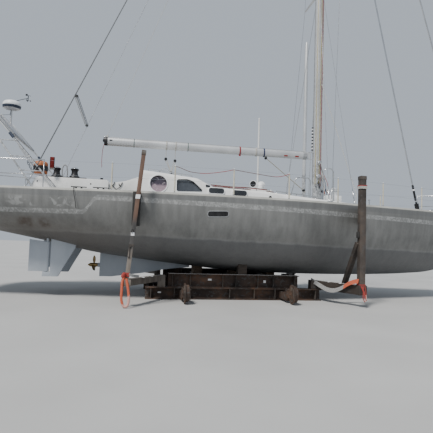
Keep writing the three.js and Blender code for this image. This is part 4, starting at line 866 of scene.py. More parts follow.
def make_hull():
    shell = Shape("hull_shell")
    rings = []
    for x, beam, bottom in spline(STATIONS, 129):
        half = hull_half(x, beam, bottom, 28)
        rings.append(half + [Vector((p.x, -p.y, p.z)) for p in half[:0:-1]])
    shell.skin(rings, PLATE)
    piece = shell.build(["hull"], slot="bare_aluminium")
    carve(piece, [block(*COCKPIT), block(*CABIN), block(DOORWAY[0], (DOORWAY[1][0], 0.33, 2.9)),
                  block(*FORE_WELL)])

    def choose(centre, normal):
        x, y, z = centre.x + AFT, abs(centre.y), centre.z
        if normal.z > 0.9 and z > DECK - 0.01:
            return 1
        if COCKPIT[0][0] - 0.01 < x < COCKPIT[1][0] + 0.12 and y < 0.96 and z > 2.15:
            return 2
        if CABIN[0][0] - 0.01 < x < CABIN[1][0] + 0.01 and y < 1.26 and z > 1.49:
            return 3
        return 3 if 4.7 < x < 5.3 and y < 0.25 and z > 2.2 else 0

    finished(piece, [PLATE, DECK_GRIP, WHITE, CREAM], choose)

    fittings = Shape("hull_fittings")
    hatch_frame(fittings, FORE_WELL, DECK - 0.01, DECK + 0.06)
    slot = [Vector((-0.38 + p.x, 2.279 + p.y + 0.045 * p.x))
            for p in rectangle(-0.26, 0.26, -0.063, 0.063, 0.06)]
    for side in SIDES:
        fittings.pane(slot, hull_side, side, BLACK, 0.002)
        fittings.rim(slot, hull_side, side, GALVANISED, 0.018, 0.006)
    fittings.build(slot="bare_aluminium")


# Doghouse and coachroof
ROUND_WINDOW = circle(-1.875, 3.065, 0.225)
SIDE_WINDOW = rounded([(-1.395, 2.88), (-1.395, 3.215), (-1.09, 3.24), (-0.94, 3.185), (-0.69, 2.965),
                       (-0.70, 2.905)], 0.06)
HOUSE_LEAN, HOUSE_SHOULDER, HOUSE_CORNICE = 0.11, 0.07, 0.19
HOUSE_QUARTER, HOUSE_CROWN = 0.05, 0.07  # rise of its roof a quarter of the way across and in the middle
ROOF_LEAN, ROOF_SHOULDER = 0.07, 0.05


def softly(table, x, column, reach=0.05):
    """A value from a table, with its kinks rounded off."""
    return sum(lerp(table, x + k * reach, column) for k in (-1, -0.5, 0, 0.5, 1)) / 5


def arch(x, side, crown, radius):
    """A ring across a roof, from the points of one side and the height of its crown."""
    outline = rounded(side + [(0, crown)] + [(-y, z) for y, z in side[::-1]], radius, 5, open_ends=True)
    return [at(x, p.x, p.y) for p in outline]


def house_ring(x, inset=0.0):
    half, roof = softly(HOUSE, x, 1) - inset, softly(HOUSE, x, 2) - inset
    side = [(half, DECK - (0.3 if inset else 0.0)), (half - HOUSE_LEAN, roof - HOUSE_SHOULDER),
            (half - HOUSE_CORNICE, roof), (half * 0.5, roof + HOUSE_QUARTER)]
    return arch(x, side, roof + HOUSE_CROWN, 0.09)


def house_side(x, z):
    return lerp(HOUSE, x, 1) - HOUSE_LEAN * (z - DECK) / (lerp(HOUSE, x, 2) - HOUSE_SHOULDER - DECK)


def roof_side(x, z):
    return lerp(ROOF, x, 1) - ROOF_LEAN * (z - DECK) / (lerp(ROOF, x, 2) - ROOF_SHOULDER - DECK)


def trunk_side(x, z):
    """The side of the doghouse and, forward of it, of the coachroof."""
    share = smoothstep(x, -0.47, -0.39)
    return house_side(x, z) * (1 - share) + roof_side(x, z) * share


def roof_height(x, y):
    """Height of the doghouse roof inside its cornice."""
    half, roof = softly(HOUSE, x, 1), softly(HOUSE, x, 2)
    return float(np.interp(abs(y), (0, half * 0.5, half - HOUSE_CORNICE),
                           (roof + HOUSE_CROWN, roof + HOUSE_QUARTER, roof)))


def make_doghouse():
    shell, room = Shape("doghouse_shell"), Shape("room")
    xs = np.linspace(HOUSE[0][0], HOUSE[-1][0], 25)
    shell.skin([house_ring(x) for x in xs], WHITE)
    room.skin([house_ring(x, 0.06) for x in np.linspace(xs[0] + 0.06, xs[-1] - 0.12, 12)], None)
    piece = shell.build(["doghouse"], slot="white_paint")
    carve(piece, [room.cutter(), block(*DOORWAY)] + [prism(w, -2, 2) for w in (ROUND_WINDOW, SIDE_WINDOW)])
    finished(piece, [WHITE, CREAM], lambda c, n: int(abs(c.y) < 1.5 and fx(-2.26) < c.x < fx(-0.54)
                                                     and n.dot(Vector((0, c.y, c.z - 2.6))) < -0.2))

    frames = Shape("doghouse_frames")
    for side in SIDES:
        frames.rim(ROUND_WINDOW, house_side, side, MOULDED, 0.030, 0.016)
        frames.rim(SIDE_WINDOW, house_side, side, MOULDED, 0.012, 0.006)
        z = 2.80
        strip = [(x, side * (house_side(x, z) + 0.004), z) for x in (-2.28, -1.5, -0.8, -0.46)]
        frames.ribbon(eased(strip, 12), 0.014, 0.012, UP, WHITE)
    for y in (-0.86, 0, 0.86):
        corners = [(-0.74, y - 0.34), (-0.74, y + 0.34), (-0.50, y + 0.30), (-0.50, y - 0.30)]
        for grow, lift, paint in ((1.08, 0.006, BLACK), (1.0, 0.010, DARK_GLASS)):
            edge = [(-0.62 + (px + 0.62) * grow, y + (py - y) * grow) for px, py in corners]
            frames.skin([[at(*p, roof_height(*p) + h) for p in edge] for h in (-0.02, lift)], paint)
    for y in (-0.95, 0.95):
        port = rectangle(y - 0.24, y + 0.24, 2.98, 3.2, 0.07)
        frames.plate(grown(port, 0.025), -2.318, -2.305, BLACK, "yz")
        frames.plate(port, -2.322, -2.317, DARK_GLASS, "yz")
    for z in (2.49, 3.19):
        x, low, high = -2.345, z - 0.03, z + 0.04
        frames.tube([(x, 0.375, low), (x, 0.375, high)], 0.017, WHITE, 14)
        frames.box((x, 0.36, low), (-2.305, 0.39, high), WHITE, 0.003)
    frames.build(slot="black_metal")


def make_coachroof():
    shell = Shape("coachroof_shell")
    rings = []
    for x in np.concatenate([np.linspace(ROOF[0][0], 4.0, 24), np.linspace(4.03, ROOF[-1][0], 9)]):
        half, top = softly(ROOF, x, 1, 0.04), softly(ROOF, x, 2, 0.04)
        side = [(half, DECK), (half - ROOF_LEAN, top - ROOF_SHOULDER), (half - 0.13, top),
                (half * 0.5, top + 0.012)]
        rings.append(arch(x, side, top + 0.02, 0.06))
    shell.skin(rings, WHITE)
    piece = shell.build(["coachroof"], slot="white_paint")
    carve(piece, [block(*SALOON_WELL)])
    finished(piece, [WHITE, DECK_GRIP],
             lambda c, n: int(n.z > 0.97 and abs(c.y) < lerp(ROOF, c.x + AFT, 1) - 0.2))

    trim = Shape("coachroof_windows")
    hatch_frame(trim, SALOON_WELL, 2.9, 3.05)
    trim.box((MAST_X - 0.23, -0.18, 2.8), (MAST_X + 0.23, 0.18, 3.0), WHITE, 0.01)
    for x0, x1, z0, z1 in ((-0.52, -0.09, 2.88, 3.035), (0.15, 0.56, 2.86, 3.01)):
        window = rectangle(x0, x1, z0, z1, 0.07)
        for side in SIDES:
            trim.pane(window, trunk_side, side, DARK_GLASS, 0.030)
            trim.rim(window, trunk_side, side, MOULDED, 0.022, 0.034)
    small = rounded([(-0.60, 3.05), (-0.475, 3.05), (-0.475, 3.105), (-0.60, 3.125)], 0.015)
    for side in SIDES:
        trim.pane(small, house_side, side, DARK_GLASS, 0.010)
        # The dark lines made fast along the roof's edge
        for x0, x1 in ((-0.40, 0.70), (1.17, 1.39)):
            trim.tube([(x, side * (lerp(ROOF, x, 1) - 0.15), lerp(ROOF, x, 2) + 0.018)
                       for x in np.linspace(x0, x1, 9)], 0.013, STRAPS["brown"])
    trim.build(slot="window_glass")


# Deck gear
def winch(gear, x, y, z):
    centre = at(x, y, z)
    base = [(0, 0), (0.135, 0), (0.135, 0.012), (0.127, 0.036), (0.112, 0.056), (0.099, 0.064)]
    drum = curve([(0.098, 0.064), (0.086, 0.10), (0.078, 0.145), (0.081, 0.18), (0.100, 0.205)], 16)
    jaws = [knob((0.104, low), (0.107, low + 0.007), (0.090, low + 0.014)) for low in (0.206, 0.226)]
    for profile in (base, drum + [(0, 0.206)], *jaws):
        gear.turn(profile, centre, BLACK, sides=40)
    gear.turn([(0, 0.240), (0.078, 0.240), (0.074, 0.262), (0.050, 0.275), (0, 0.277)], centre, STAINLESS,
              sides=40)
    gear.turn(disc(0.019, 0.277, 0.280), centre, BLACK, sides=16)
    for a in angles(12):
        bolt_at = centre + Vector((0.120 * math.cos(a), 0.120 * math.sin(a), 0.043))
        gear.turn([(0, 0), (0.007, 0), (0.007, 0.004), (0, 0.005)], bolt_at, STAINLESS, sides=8)


def make_winches():
    for side, name in SIDE_NAMES:
        y = side * 1.475
        gear = Shape(f"winch_set_{name}")
        gear.box((-4.61, y - 0.14, 3.0803), (-3.72, y + 0.14, 3.100), BLACK, 0.003)
        for x in (-4.47, -4.03):
            winch(gear, x, y, 3.092)
        gear.build([f"winches_{name}"], slot="black_metal")


def make_wheel():
    wheel = Shape("steering_wheel_fine", "helm")
    hub, r = at(-3.93, 0, 2.88), 0.36
    wheel.tube([hub + Vector((0, r * math.sin(a), r * math.cos(a))) for a in angles(64)], 0.014, BLACK, 12,
               closed=True)
    for a in angles(5):
        out = Vector((0, math.sin(a), math.cos(a)))
        wheel.tube([hub, hub + out * 0.12 - Vector((0.010, 0, 0)), hub + out * 0.30 - Vector((0.004, 0, 0)),
                    hub + out * r], [0.012, 0.009, 0.008, 0.008], STAINLESS, 10)
    boss = knob((0.030, -0.035), (0.045, -0.020), (0.045, 0.030), (0.036, 0.045), (0.015, 0.045),
                (0.015, 0.110))
    wheel.turn(boss, hub, STAINLESS, AHEAD)
    wheel.turn(disc(0.018, -0.040, -0.034), hub, BLACK, AHEAD)
    wheel.build(["steering_wheel"], slot="stainless")


def make_cockpit():
    gear = Shape("cockpit_gear")
    for k in range(20):
        y = -0.90 + k * 0.092
        gear.box((-4.86, y, 2.201), (-2.36, y + 0.072, 2.222), TIMBER, 0.003)
    for side in SIDES:
        for k in range(3):
            y = side * (1.02 + k * 0.095)
            gear.box((-4.80, y - 0.036, 2.721), (-2.45, y + 0.036, 2.737), TIMBER, 0.003)
        gear.plate(rectangle(-4.1, -3.2, 2.36, 2.6, 0.05), side * 0.944, side * 0.951, MOULDED)
    # Compass, hand rail, panel and throttle of the pedestal
    gear.turn([(0, 0), (0.075, 0), (0.080, 0.03), (0.075, 0.05), (0.055, 0.085), (0.025, 0.10), (0, 0.104)],
              (-3.74, 0, 2.98), BLACK)
    gear.tube([(-3.81, -0.16, 2.90), (-3.81, -0.16, 3.10), (-3.80, -0.08, 3.15), (-3.80, 0.08, 3.15),
               (-3.81, 0.16, 3.10), (-3.81, 0.16, 2.90)], 0.013, STAINLESS, 10)
    for y in (-0.16, 0.16):
        gear.tube([(-3.81, y, 2.90), (-3.79, y * 0.4, 2.86)], 0.013, STAINLESS, 10)
    gear.box((-3.66, -0.12, 2.86), (-3.62, 0.12, 2.97), BLACK, 0.008)
    gear.tube([(-3.72, -0.09, 2.80), (-3.72, -0.125, 2.80), (-3.70, -0.13, 2.90)], 0.007, STAINLESS)
    gear.turn(bead(0.018, 0.013, 0.018, 0.012), (-3.70, -0.13, 2.915), STRAPS["red"], sides=14)
    gear.build(slot="timber")


def make_coaming_gear():
    gear = Shape("coaming_gear")
    y, z = -1.402, 2.95
    for x in (-3.06, -2.86):
        gear.turn(knob((0.024, 0), (0.024, 0.006), (0.010, 0.010)), (x, y, z), STAINLESS, (0, -1, 0))
        gear.tube([(x, y - 0.014, z), (x + 0.03, y - 0.016, 3.03), (x + 0.045, y - 0.014, 3.06)], 0.011,
                  ROPES["black"])
        gear.tube([(x, y - 0.014, z), (x - 0.05, y - 0.016, 3.02)], 0.011, ROPES["black"])
    gear.tube([(-3.06, y - 0.014, z), (-2.96, y - 0.02, 2.86), (-2.86, y - 0.014, z)], 0.009, ROPES["black"])
    # A black plate on the forward end face of the coaming's outer box: painted shade
    gear.box((-3.163, -1.60, 2.80), (-3.155, -1.42, 2.98), BLACK, 0.003)
    for side in SIDES:
        y = side * 1.44
        for x in (-4.9, -3.6):
            stud = [(0, 0), (0.018, 0), (0.018, 0.004), (0, 0.005)]
            gear.turn(stud, (x, side * 1.62, z), BLACK, (0, side, 0), 14)
        gear.box((-3.62, y - 0.06, 3.076), (-3.24, y + 0.06, 3.096), BLACK)
        gear.turn([(0, 0), (0.035, 0), (0.035, 0.035), (0.050, 0.042), (0, 0.044)], (-3.35, y, 3.096), BLACK)
        gear.ribbon([(x, side * 1.628, 2.735) for x in (-5.05, -4, -3.2)], 0.02, 0.016, UP, RUBBER)
    gear.build(slot="black_metal")


def make_radome():
    dome = Shape("radome_fine")
    side = curve([(0.225, 0.035), (0.243, 0.075), (0.246, 0.110)], 7)
    cap = curve([(0.246, 0.110), (0.240, 0.165), (0.215, 0.215), (0.165, 0.248), (0.090, 0.266), (0, 0.270)],
                18)
    foot = [(0, 0), (0.120, 0), (0.160, 0.012), (0.225, 0.035)]
    seam = [(0.2465, 0.104), (0.250, 0.108), (0.250, 0.114), (0.2465, 0.118)]
    for profile, paint in ((foot, MOULDED), (side, NAVY), (cap, MOULDED), (seam, GALVANISED)):
        dome.turn(profile, (-6.06, 0, 5.1503), paint, sides=48)
    dome.build(["radome"], slot="white_plastic")


def make_wind_sensor():
    gear = Shape("wind_sensor")
    x, y = -5.61, -0.09
    gear.tube([(-5.98, -0.02, 5.40), (-5.86, -0.04, 5.44), (-5.62, y, 5.50)], 0.008, BLACK)
    gear.tube([(x, y, 5.42), (x, y, 5.58)], 0.011, BLACK)
    gear.tube([(-5.66, y, 5.59), (-5.54, y, 5.57)], 0.005, BLACK, 6)
    gear.box((-5.685, -0.094, 5.57), (-5.63, -0.086, 5.625), BLACK, 0.001)
    for a in angles(3):
        arm = at(x, y, 5.43)
        tip = arm + Vector((0.06 * math.cos(a), 0.06 * math.sin(a), 0))
        gear.tube([arm, tip], 0.004, BLACK, 6)
        gear.turn([(0, -0.014), (0.014, -0.008), (0.018, 0.012), (0, 0.012)], tip, BLACK,
                  (-math.sin(a), math.cos(a), 0), 12)
    gear.build(slot="black_metal")


def make_reel():
    reel = Shape("rope_reel_fine")
    base = at(-5.18, 0, DECK_TOP)
    dome = curve([(0.186, 0.850), (0.190, 0.870), (0.186, 0.930), (0.160, 0.975), (0.090, 1.000),
                  (0, 1.009)], 20)
    reel.turn(knob((0.07, 0), (0.07, 0.014), (0.038, 0.03), (0.038, 0.605)), base, STAINLESS)
    for profile, paint in (
            ([(0.038, 0.607), (0.160, 0.615), (0.186, 0.66), (0.190, 0.70), (0.186, 0.715)], ORANGE),
            ([(0.186, 0.715), (0.204, 0.735), (0.204, 0.85), (0.186, 0.862)], BLACK), (dome, ORANGE)):
        reel.turn(profile, base, paint, sides=40)
    for a in angles(14):
        rib = [(r + 0.001, h) for r, h in dome[2:-2]]
        reel.tube([base + Vector((r * math.cos(a), r * math.sin(a), h)) for r, h in rib], 0.006, ORANGE, 6)
    reel.build(["rope_reel"], slot="orange_plastic")


def make_vents():
    vents = Shape("cowl_vents_fine")
    y, top = -0.6, 3.165
    vents.box((0.76, y - 0.23, 2.99), (1.48, y + 0.23, top), WHITE, 0.02)
    for x, r, way in ((1.0, 0.095, Vector((-0.5, -0.85, 0))), (1.19, 0.108, Vector((0.45, 0.9, 0)))):
        way = way.normalized()
        foot = at(x, y, top - 0.01)
        path = eased([foot + Vector((0, 0, rise)) + way * out for rise, out in
                      ((0, 0), (0.09, 0), (0.155, 0.03), (0.172, 0.085), (0.172, r * 1.2))], 18)
        mouth = path[-1] + way * 0.006
        vents.tube(path, [r * (0.70 + 0.42 * smoothstep(k, 4, 17)) for k in range(18)], MOULDED, 28)
        vents.tube([path[-1] - way * 0.004, mouth], r * 1.15, MOULDED, 28)
        vents.turn(disc(r * 0.98, 0, 0.002), mouth, BLACK, way)
        vents.turn([(r * 0.7, 0), (r * 0.86, 0), (r * 0.86, 0.012), (r * 0.7, 0.02)], foot, STAINLESS)
    vents.build(["cowl_vents"], slot="white_plastic")


def make_capsule_bands():
    bands = Shape("capsule_bands")
    for h in (0.392, 0.452):
        bands.turn([(0.092, h - 0.008), (0.107, h - 0.006), (0.107, h + 0.006), (0.092, h + 0.008)],
                   (3.5, -0.7, 2.85), GALVANISED, sides=40)
    bands.build(slot="white_plastic")


def make_roof_gear():
    gear = Shape("roof_gear")

    def top(x, y):
        return roof_height(x, y) if x < HOUSE[-1][0] else softly(ROOF, x, 2) + 0.008

    # Grab rails on the doghouse and the coachroof, on feet
    for side in SIDES:
        for x0, y0, x1, y1 in ((-2.15, 1.24, -0.95, 1.22), (-0.30, 1.36, 1.30, 1.22),
                               (1.50, 1.20, 2.80, 0.98)):
            spots = [(x0 + (x1 - x0) * t, y0 + (y1 - y0) * t) for t in (0, 0.25, 0.5, 0.75, 1)]
            points = [at(x, side * y, top(x, y) + 0.062) for x, y in spots]
            gear.tube(points, 0.013, STAINLESS, 10)
            for p in points:
                foot = p - Vector((0, 0, 0.064))
                gear.tube([p, foot], 0.010, STAINLESS)
                gear.turn([(0, 0), (0.024, 0), (0.020, 0.008), (0, 0.010)], foot, STAINLESS, sides=16)
    # Hoops just aft of the traveller's ends, and the traveller under the mainsheet
    for y in (-1.16, 1.16):
        gear.tube([(-1.70 + 0.15 * math.cos(a), y, 3.37 + 0.17 * math.sin(a)) for a in angles(32)[:17]],
                  0.012, STAINLESS, 10)
    track = [at(-1.45, y, roof_height(-1.45, y) + 0.035) for y in (-1.05, -0.8, -0.4, 0, 0.4, 0.8, 1.05)]
    gear.ribbon(track, 0.05, 0.03, AHEAD, BLACK)
    for p in track:
        gear.box(p - Vector((0.035, 0.03, 0.045)), p + Vector((0.035, 0.03, 0)), GALVANISED, 0.003)
    gear.box((-1.51, -0.075, 3.455), (-1.39, 0.075, 3.50), BLACK, 0.008)
    gear.box((-1.475, -0.02, 3.49), (-1.425, 0.02, 3.566), STAINLESS)
    # Clutches on the doghouse roof
    for side in SIDES:
        for k in range(4):
            y = side * (CLUTCH_Y + CLUTCH_STEP * k)
            z = roof_height(-1.98, y)
            gear.box((-2.06, y - 0.021, z - 0.01), (-1.90, y + 0.021, z + 0.055), BLACK, 0.006)
            gear.box((-2.08, y - 0.012, z + 0.055), (-1.98, y + 0.012, z + 0.068), MOULDED, 0.003)
    gear.build(slot="black_metal")


def make_led_lines():
    """Control lines led aft from the mast's foot to the clutches, and lines belayed on the starboard side."""
    lines = Shape("led_lines")
    start = 2.95
    for side in SIDES:
        for k, colour in enumerate(("white", "red", "blue", "green")):
            y, low = side * (CLUTCH_Y + CLUTCH_STEP * k), side * (0.16 + 0.03 * k)
            points = [(x, low + (y - low) * min(1, (start - x) / 2.9),
                       softly(ROOF, x, 2) + 0.030 if x > -0.43 else roof_height(x, y) + 0.016)
                      for x in (start, 2.2, 0.9, -0.42, -0.83, -1.3, -1.92)]
            lines.tube(eased(points, 30), 0.007, ROPES[colour], 6)
    # The belayed ones, along the rail beside the coachroof
    for k, colour in enumerate(("red", "black", "white")):
        z = 3.105 + 0.012 * k
        lines.tube(eased([(x, y + 0.01 * k, z + rise) for x, y, rise in
                          ((-0.44, -1.40, 0.02), (0.1, -1.385, 0), (0.55, -1.36, 0.004),
                           (1.2, -1.28, -0.015))], 20),
                   0.008, ROPES[colour], 6)
    lines.build(slot="rope")


# Spars and rigging
def boom_ring(x, grow, count=36):
    wide, deep = BOOM_HALF_Y + grow, BOOM_HALF + grow
    return [at(x, wide * math.cos(a), BOOM_Z + deep * math.sin(a)) for a in angles(count)]


def shrunk(ring, wide, deep, shift):
    """A ring of the boom, made narrower and shallower and moved along by shift(its point)."""
    return [Vector((p.x + shift(p), p.y * wide, BOOM_Z + (p.z - BOOM_Z) * deep)) for p in ring]


def boom_side(x, z):
    return BOOM_HALF_Y * math.sqrt(max(0.0, 1 - ((z - BOOM_Z) / BOOM_HALF) ** 2))


def wrap(gear, x, colour, wide=0.012, turns=1, grow=0.006):
    """Turns of rope around the boom."""
    for k in range(turns):
        gear.tube(boom_ring(x + k * wide * 2, grow, 32), wide, ROPES[colour], closed=True)


def make_boom_gear():
    gear = Shape("boom_fittings", "boom_gear")
    # End cap: a dark casting cut at a slant, wider at its top
    rings = [boom_ring(BOOM_END + x, grow) for x, grow in ((0.08, 0.004), (0.02, 0.004), (-0.01, 0))]
    rings.append(shrunk(boom_ring(BOOM_END - 0.02, 0), 0.86, 0.86,
                        lambda p: -0.03 * max(0, (p.z - BOOM_Z) / BOOM_HALF)))
    gear.skin(rings, BLACK)
    gear.turn(knob((0.05, -0.03), (0.055, -0.02), (0.042, 0), (0.055, 0.02), (0.05, 0.03)),
              (BOOM_END - 0.01, 0, BOOM_Z + 0.02), BLACK, ACROSS)
    gear.box((BOOM_END - 0.02, -0.010, BOOM_Z + 0.115), (BOOM_END + 0.12, 0.010, BOOM_Z + 0.165), STAINLESS,
             0.003)
    slot = rectangle(-3.30, -3.21, 4.45, 4.49, 0.02)
    for side in SIDES:
        gear.pane(slot, boom_side, side, BLACK, 0.003)
        for x in (2.16, 2.53):
            gear.pane(rectangle(x - 0.06, x + 0.06, 4.36, 4.40, 0.015), boom_side, side, STRAPS["red"], 0.008)
    gear.box((-3.28, -0.014, BOOM_Z + 0.119), (2.80, 0.014, BOOM_Z + 0.134), GALVANISED, 0.002)
    for ropes in ((-2.58, "green", 0.008, 1), (-0.96, "green", 0.008, 1), (0.66, "red", 0.010, 2),
                  (1.18, "white", 0.012, 2), (1.44, "blue", 0.010, 2)):
        wrap(gear, *ropes)
    gear.turn(bead(0.02, 0.03, 0.036, 0.014), (0.67, -0.02, BOOM_Z - 0.145), ROPES["red"], sides=14)
    # The tackle that holds the boom down, from its underside to the mast's foot
    for y, colour in ((-0.018, "white"), (0.0, "yellow"), (0.018, "white")):
        gear.tube([(1.47, y, BOOM_Z - BOOM_HALF), (2.87, y, 3.26)], 0.008, ROPES[colour], 6)
    for x, z in ((1.52, 4.268), (2.80, 3.313)):
        for y in (-0.027, 0.027):
            gear.turn(bead(0.006, 0.036, 0.040, 0.005), (x, y, z), BLACK, ACROSS)
    # Casting at the gooseneck end
    rings = [boom_ring(BOOM_FRONT - 0.12, 0.004), boom_ring(BOOM_FRONT - 0.01, 0.004),
             shrunk(boom_ring(BOOM_FRONT, 0), 0.7, 0.75, lambda p: 0.015)]
    gear.skin(rings, GALVANISED)
    gear.build(slot="spar")


def make_mainsheet():
    """White strops around the boom, black blocks and the falls between them."""
    sheet = Shape("mainsheet_tackle", "boom_gear")
    foot = at(-1.45, 0, 3.62)
    for x, z in ((-1.62, 4.03), (-1.34, 3.99)):
        wrap(sheet, x, "white", 0.009, 2, 0.009)
        for y in (-0.02, 0.02):
            sheet.tube([(x, y, BOOM_Z - BOOM_HALF - 0.005), (x, 0, z + 0.05)], 0.009, ROPES["white"])
        for y in (-0.022, 0.022):
            sheet.turn(bead(0.007, 0.041, 0.045, 0.006), (x, y, z), BLACK, ACROSS)
        sheet.turn(bead(0.014, 0.038, 0.030, 0.014), (x, 0, z), STAINLESS, ACROSS)
        for y in (-0.03, 0, 0.03):
            low = foot + Vector((0.02 * (x + 1.48), y, 0.02))
            sheet.tube([(x + (0.03 if y else -0.03), y * 0.3, z - 0.01), low], 0.010, ROPES["white"], 6)
    for y in (-0.030, 0, 0.030):
        sheet.turn(bead(0.006, 0.044, 0.047, 0.006), foot + Vector((0, y, 0)), BLACK, ACROSS)
    sheet.box(foot - Vector((0.014, 0.034, 0.055)), foot + Vector((0.014, 0.034, 0.0)), STAINLESS, 0.003)
    sheet.build(["mainsheet"], slot="rope")


def make_mast_gear():
    gear = Shape("mast_fittings")
    x, half = MAST_X, MAST_HALF
    aft = x - half
    gear.box((aft - 0.014, -0.016, 3.55), (aft + 0.01, 0.016, 21.6), GALVANISED, 0.003)
    for k in range(15):
        z = 4.62 + k * 0.052
        gear.box((aft - 0.055, -0.022, z), (aft - 0.008, 0.022, z + 0.034), MOULDED if k % 2 else BLACK,
                 0.005)
    for grow, *ends in ((0.020, 3.0, 3.05), (0.010, 3.05, 3.09), (0.006, 4.10, 4.14)):
        long, wide = half + grow, MAST_HALF_Y + grow
        gear.skin([[at(x + long * math.cos(a), wide * math.sin(a), z) for a in angles(36)] for z in ends],
                  GALVANISED)
    # Winches and cleats on both sides near the foot
    for side in SIDES:
        for dx, z in ((-0.02, 3.78), (0.02, 4.22)):
            drum = knob((0.062, 0), (0.062, 0.035), (0.040, 0.045), (0.036, 0.10), (0.050, 0.125),
                        (0.050, 0.14), (0.030, 0.152))
            gear.turn(drum, (x + dx, side * (MAST_HALF_Y - 0.01), z), STAINLESS, (0, side, 0))
        for dx, z in ((-0.07, 3.45), (0.05, 3.45), (0.0, 3.55)):
            centre, rise = at(x + dx, side * (MAST_HALF_Y + 0.028), z), Vector((0, 0, 0.075))
            gear.tube([centre - rise, centre, centre + rise], [0.007, 0.013, 0.007], BLACK)
            gear.tube([centre, centre - Vector((0, side * 0.04, 0))], 0.014, BLACK)
    # Halyards down the mast
    for dx, colour, low in ((-0.09, "yellow", 3.52), (-0.04, "white", 3.80), (0.03, "yellow", 3.55),
                            (0.08, "red", 3.45), (0.115, "white", 3.45), (-0.115, "white", 3.45)):
        for side in SIDES:
            y = side * (MAST_HALF_Y * math.sqrt(1 - (dx / half) ** 2) + 0.012)
            gear.tube([(x + dx, y, low), (x + dx, y, 8.0), (x + dx * 0.8, y * 0.95, 21.2)], 0.0065,
                      ROPES[colour], 6)
    # Ropes made up on the pin rail beside the mast: belayed falls, each with its turns
    for k, colour in enumerate(("white", "white", "blue", "white", "red")):
        dx = 0.20 + 0.045 * k
        for side in SIDES:
            gear.tube([(x + 0.12, side * 0.07, 4.16 - 0.03 * k), (x + dx * 0.8, side * 0.12, 3.60),
                       (x + dx, side * (0.15 + 0.02 * k), 3.03)], 0.008, ROPES[colour], 6)
            gear.turn(bead(0.05, 0.018, 0.026, 0.045), (x + dx * 0.86, side * 0.135, 3.38 - 0.02 * k),
                      ROPES[colour], sides=12)
    gear.box((2.80, -0.03, 4.36), (2.94, 0.03, 4.325), STAINLESS, 0.003)
    gear.build(slot="spar")


def screw(gear, foot, head):
    """A rigging screw at the foot of the stay that leads to head."""
    gear.turn([(0, 0), (0.013, 0), (0.016, 0.02), (0.016, 0.05), (0.010, 0.06), (0.010, 0.10), (0.017, 0.11),
               (0.017, 0.33), (0.010, 0.34), (0.010, 0.40), (0.013, 0.41), (0.011, 0.47), (0, 0.475)],
              foot, STAINLESS, (head - foot).normalized(), 14)


def make_rigging_screws():
    gear = Shape("rigging_screws")
    for side in SIDES:
        screw(gear, at(-5.15, side * 1.7, 2.79), at(2.7, side * 0.035, 21.7))
        for x, *head in ((2.87, 3.27, 1.41, 10), (2.79, 3.19, 0.109, 9.84), (3.65, 3.29, 0.109, 9.84)):
            y = side * (hull_beam(x) - 0.13)
            screw(gear, at(x, y, 2.77), at(head[0], side * head[1], head[2]))
            gear.box((x - 0.05, y - 0.012, 2.721), (x + 0.05, y + 0.012, 2.80), STAINLESS)
    gear.tube([at(-5.15, -1.7, 2.79).lerp(at(2.7, -0.035, 21.7), t) for t in (0.03, 0.5, 0.97)], 0.014,
              DARK_WIRE)
    # A halyard made fast at the shrouds' feet
    gear.tube([(3.72, -1.66, 2.80), (3.74, -1.66, 3.06), (3.3, -0.12, 6.8)], 0.008, ROPES["white"], 6)
    gear.build(slot="stainless")


def make_backstay_tackle():
    """The tackle between the two backstays."""
    tackle = Shape("backstay_tackle")
    near, far = at(-4.106, -1.4786, 5.2877), at(-4.137, 1.4852, 5.2120)
    way = (far - near).normalized()
    for end, inward in ((near, way), (far, -way)):
        tackle.turn(disc(0.012, -0.03, 0.03), end, BLACK, (7.85, 0, 18.93), 10)
        for lift in (-0.018, 0.018):
            tackle.turn(bead(0.006, 0.048, 0.052, 0.006), end + inward * 0.11 + Vector((0, 0, lift)), BLACK)
        tackle.tube([end, end + inward * 0.08], 0.010, STAINLESS)
    for dx, dz, colour in ((-0.045, 0, "white"), (0.045, 0, "black"), (-0.02, 0.02, "white"),
                           (0.02, -0.02, "black")):
        shift = Vector((dx, 0, dz))
        tackle.tube([near + way * 0.11 + shift, far - way * 0.11 + shift], 0.008, ROPES[colour], 6)
    tackle.build(slot="rope")


def make_furlers():
    """Dark sleeves and drums at the feet of the two forward stays."""
    furl = Shape("furler_sleeves")
    for foot, head, r in ((at(9.12, 0, 2.85), at(3.42, 0, 21.7), 0.090),
                          (at(6.86, 0, 2.85), at(3.42, 0, 17.6), 0.070)):
        for profile, paint, sides in (
                ([(0, 0.02), (r, 0.02), (r + 0.006, 0.03), (r + 0.006, 0.045), (r - 0.01, 0.05),
                  (r - 0.012, 0.10)], BLACK, 30),
                ([(r - 0.012, 0.10), (r - 0.012, 0.19), (r + 0.004, 0.20), (r + 0.006, 0.23), (0.03, 0.24),
                  (0.03, 0.30)], BLACK, 30),
                ([(r - 0.008, 0.11), (r - 0.006, 0.18)], ROPES["white"], 30),
                ([(0.026, 0.34), (0.036, 0.36), (0.036, 0.86), (0.028, 0.88)], BLACK, 20),
                ([(0.0365, 0.68), (0.040, 0.685), (0.040, 0.725), (0.0365, 0.73)], MOULDED, 20)):
            furl.turn(profile, foot, paint, (head - foot).normalized(), sides)
    furl.build(slot="stainless")


def cleat(gear, x, y, z, size=0.13):
    base = at(x, y, z)

    def spot(along, rise, across=0.0):
        return base + Vector((along * size, across, rise))

    horn = [spot(t, h) for t, h in ((-1, 0.058), (-0.6, 0.050), (-0.2, 0.046), (0.2, 0.046), (0.6, 0.050),
                                    (1, 0.058))]
    gear.tube(horn, [0.007, 0.010, 0.012, 0.012, 0.010, 0.007], STAINLESS, 10)
    for t in (-0.3, 0.3):
        gear.tube([spot(t, 0), spot(t, 0.046)], [0.015, 0.010], STAINLESS, 10)
    gear.skin([[spot(a * 0.55, h, b * 0.03) for a, b in SQUARE] for h in (0, 0.006)], STAINLESS)


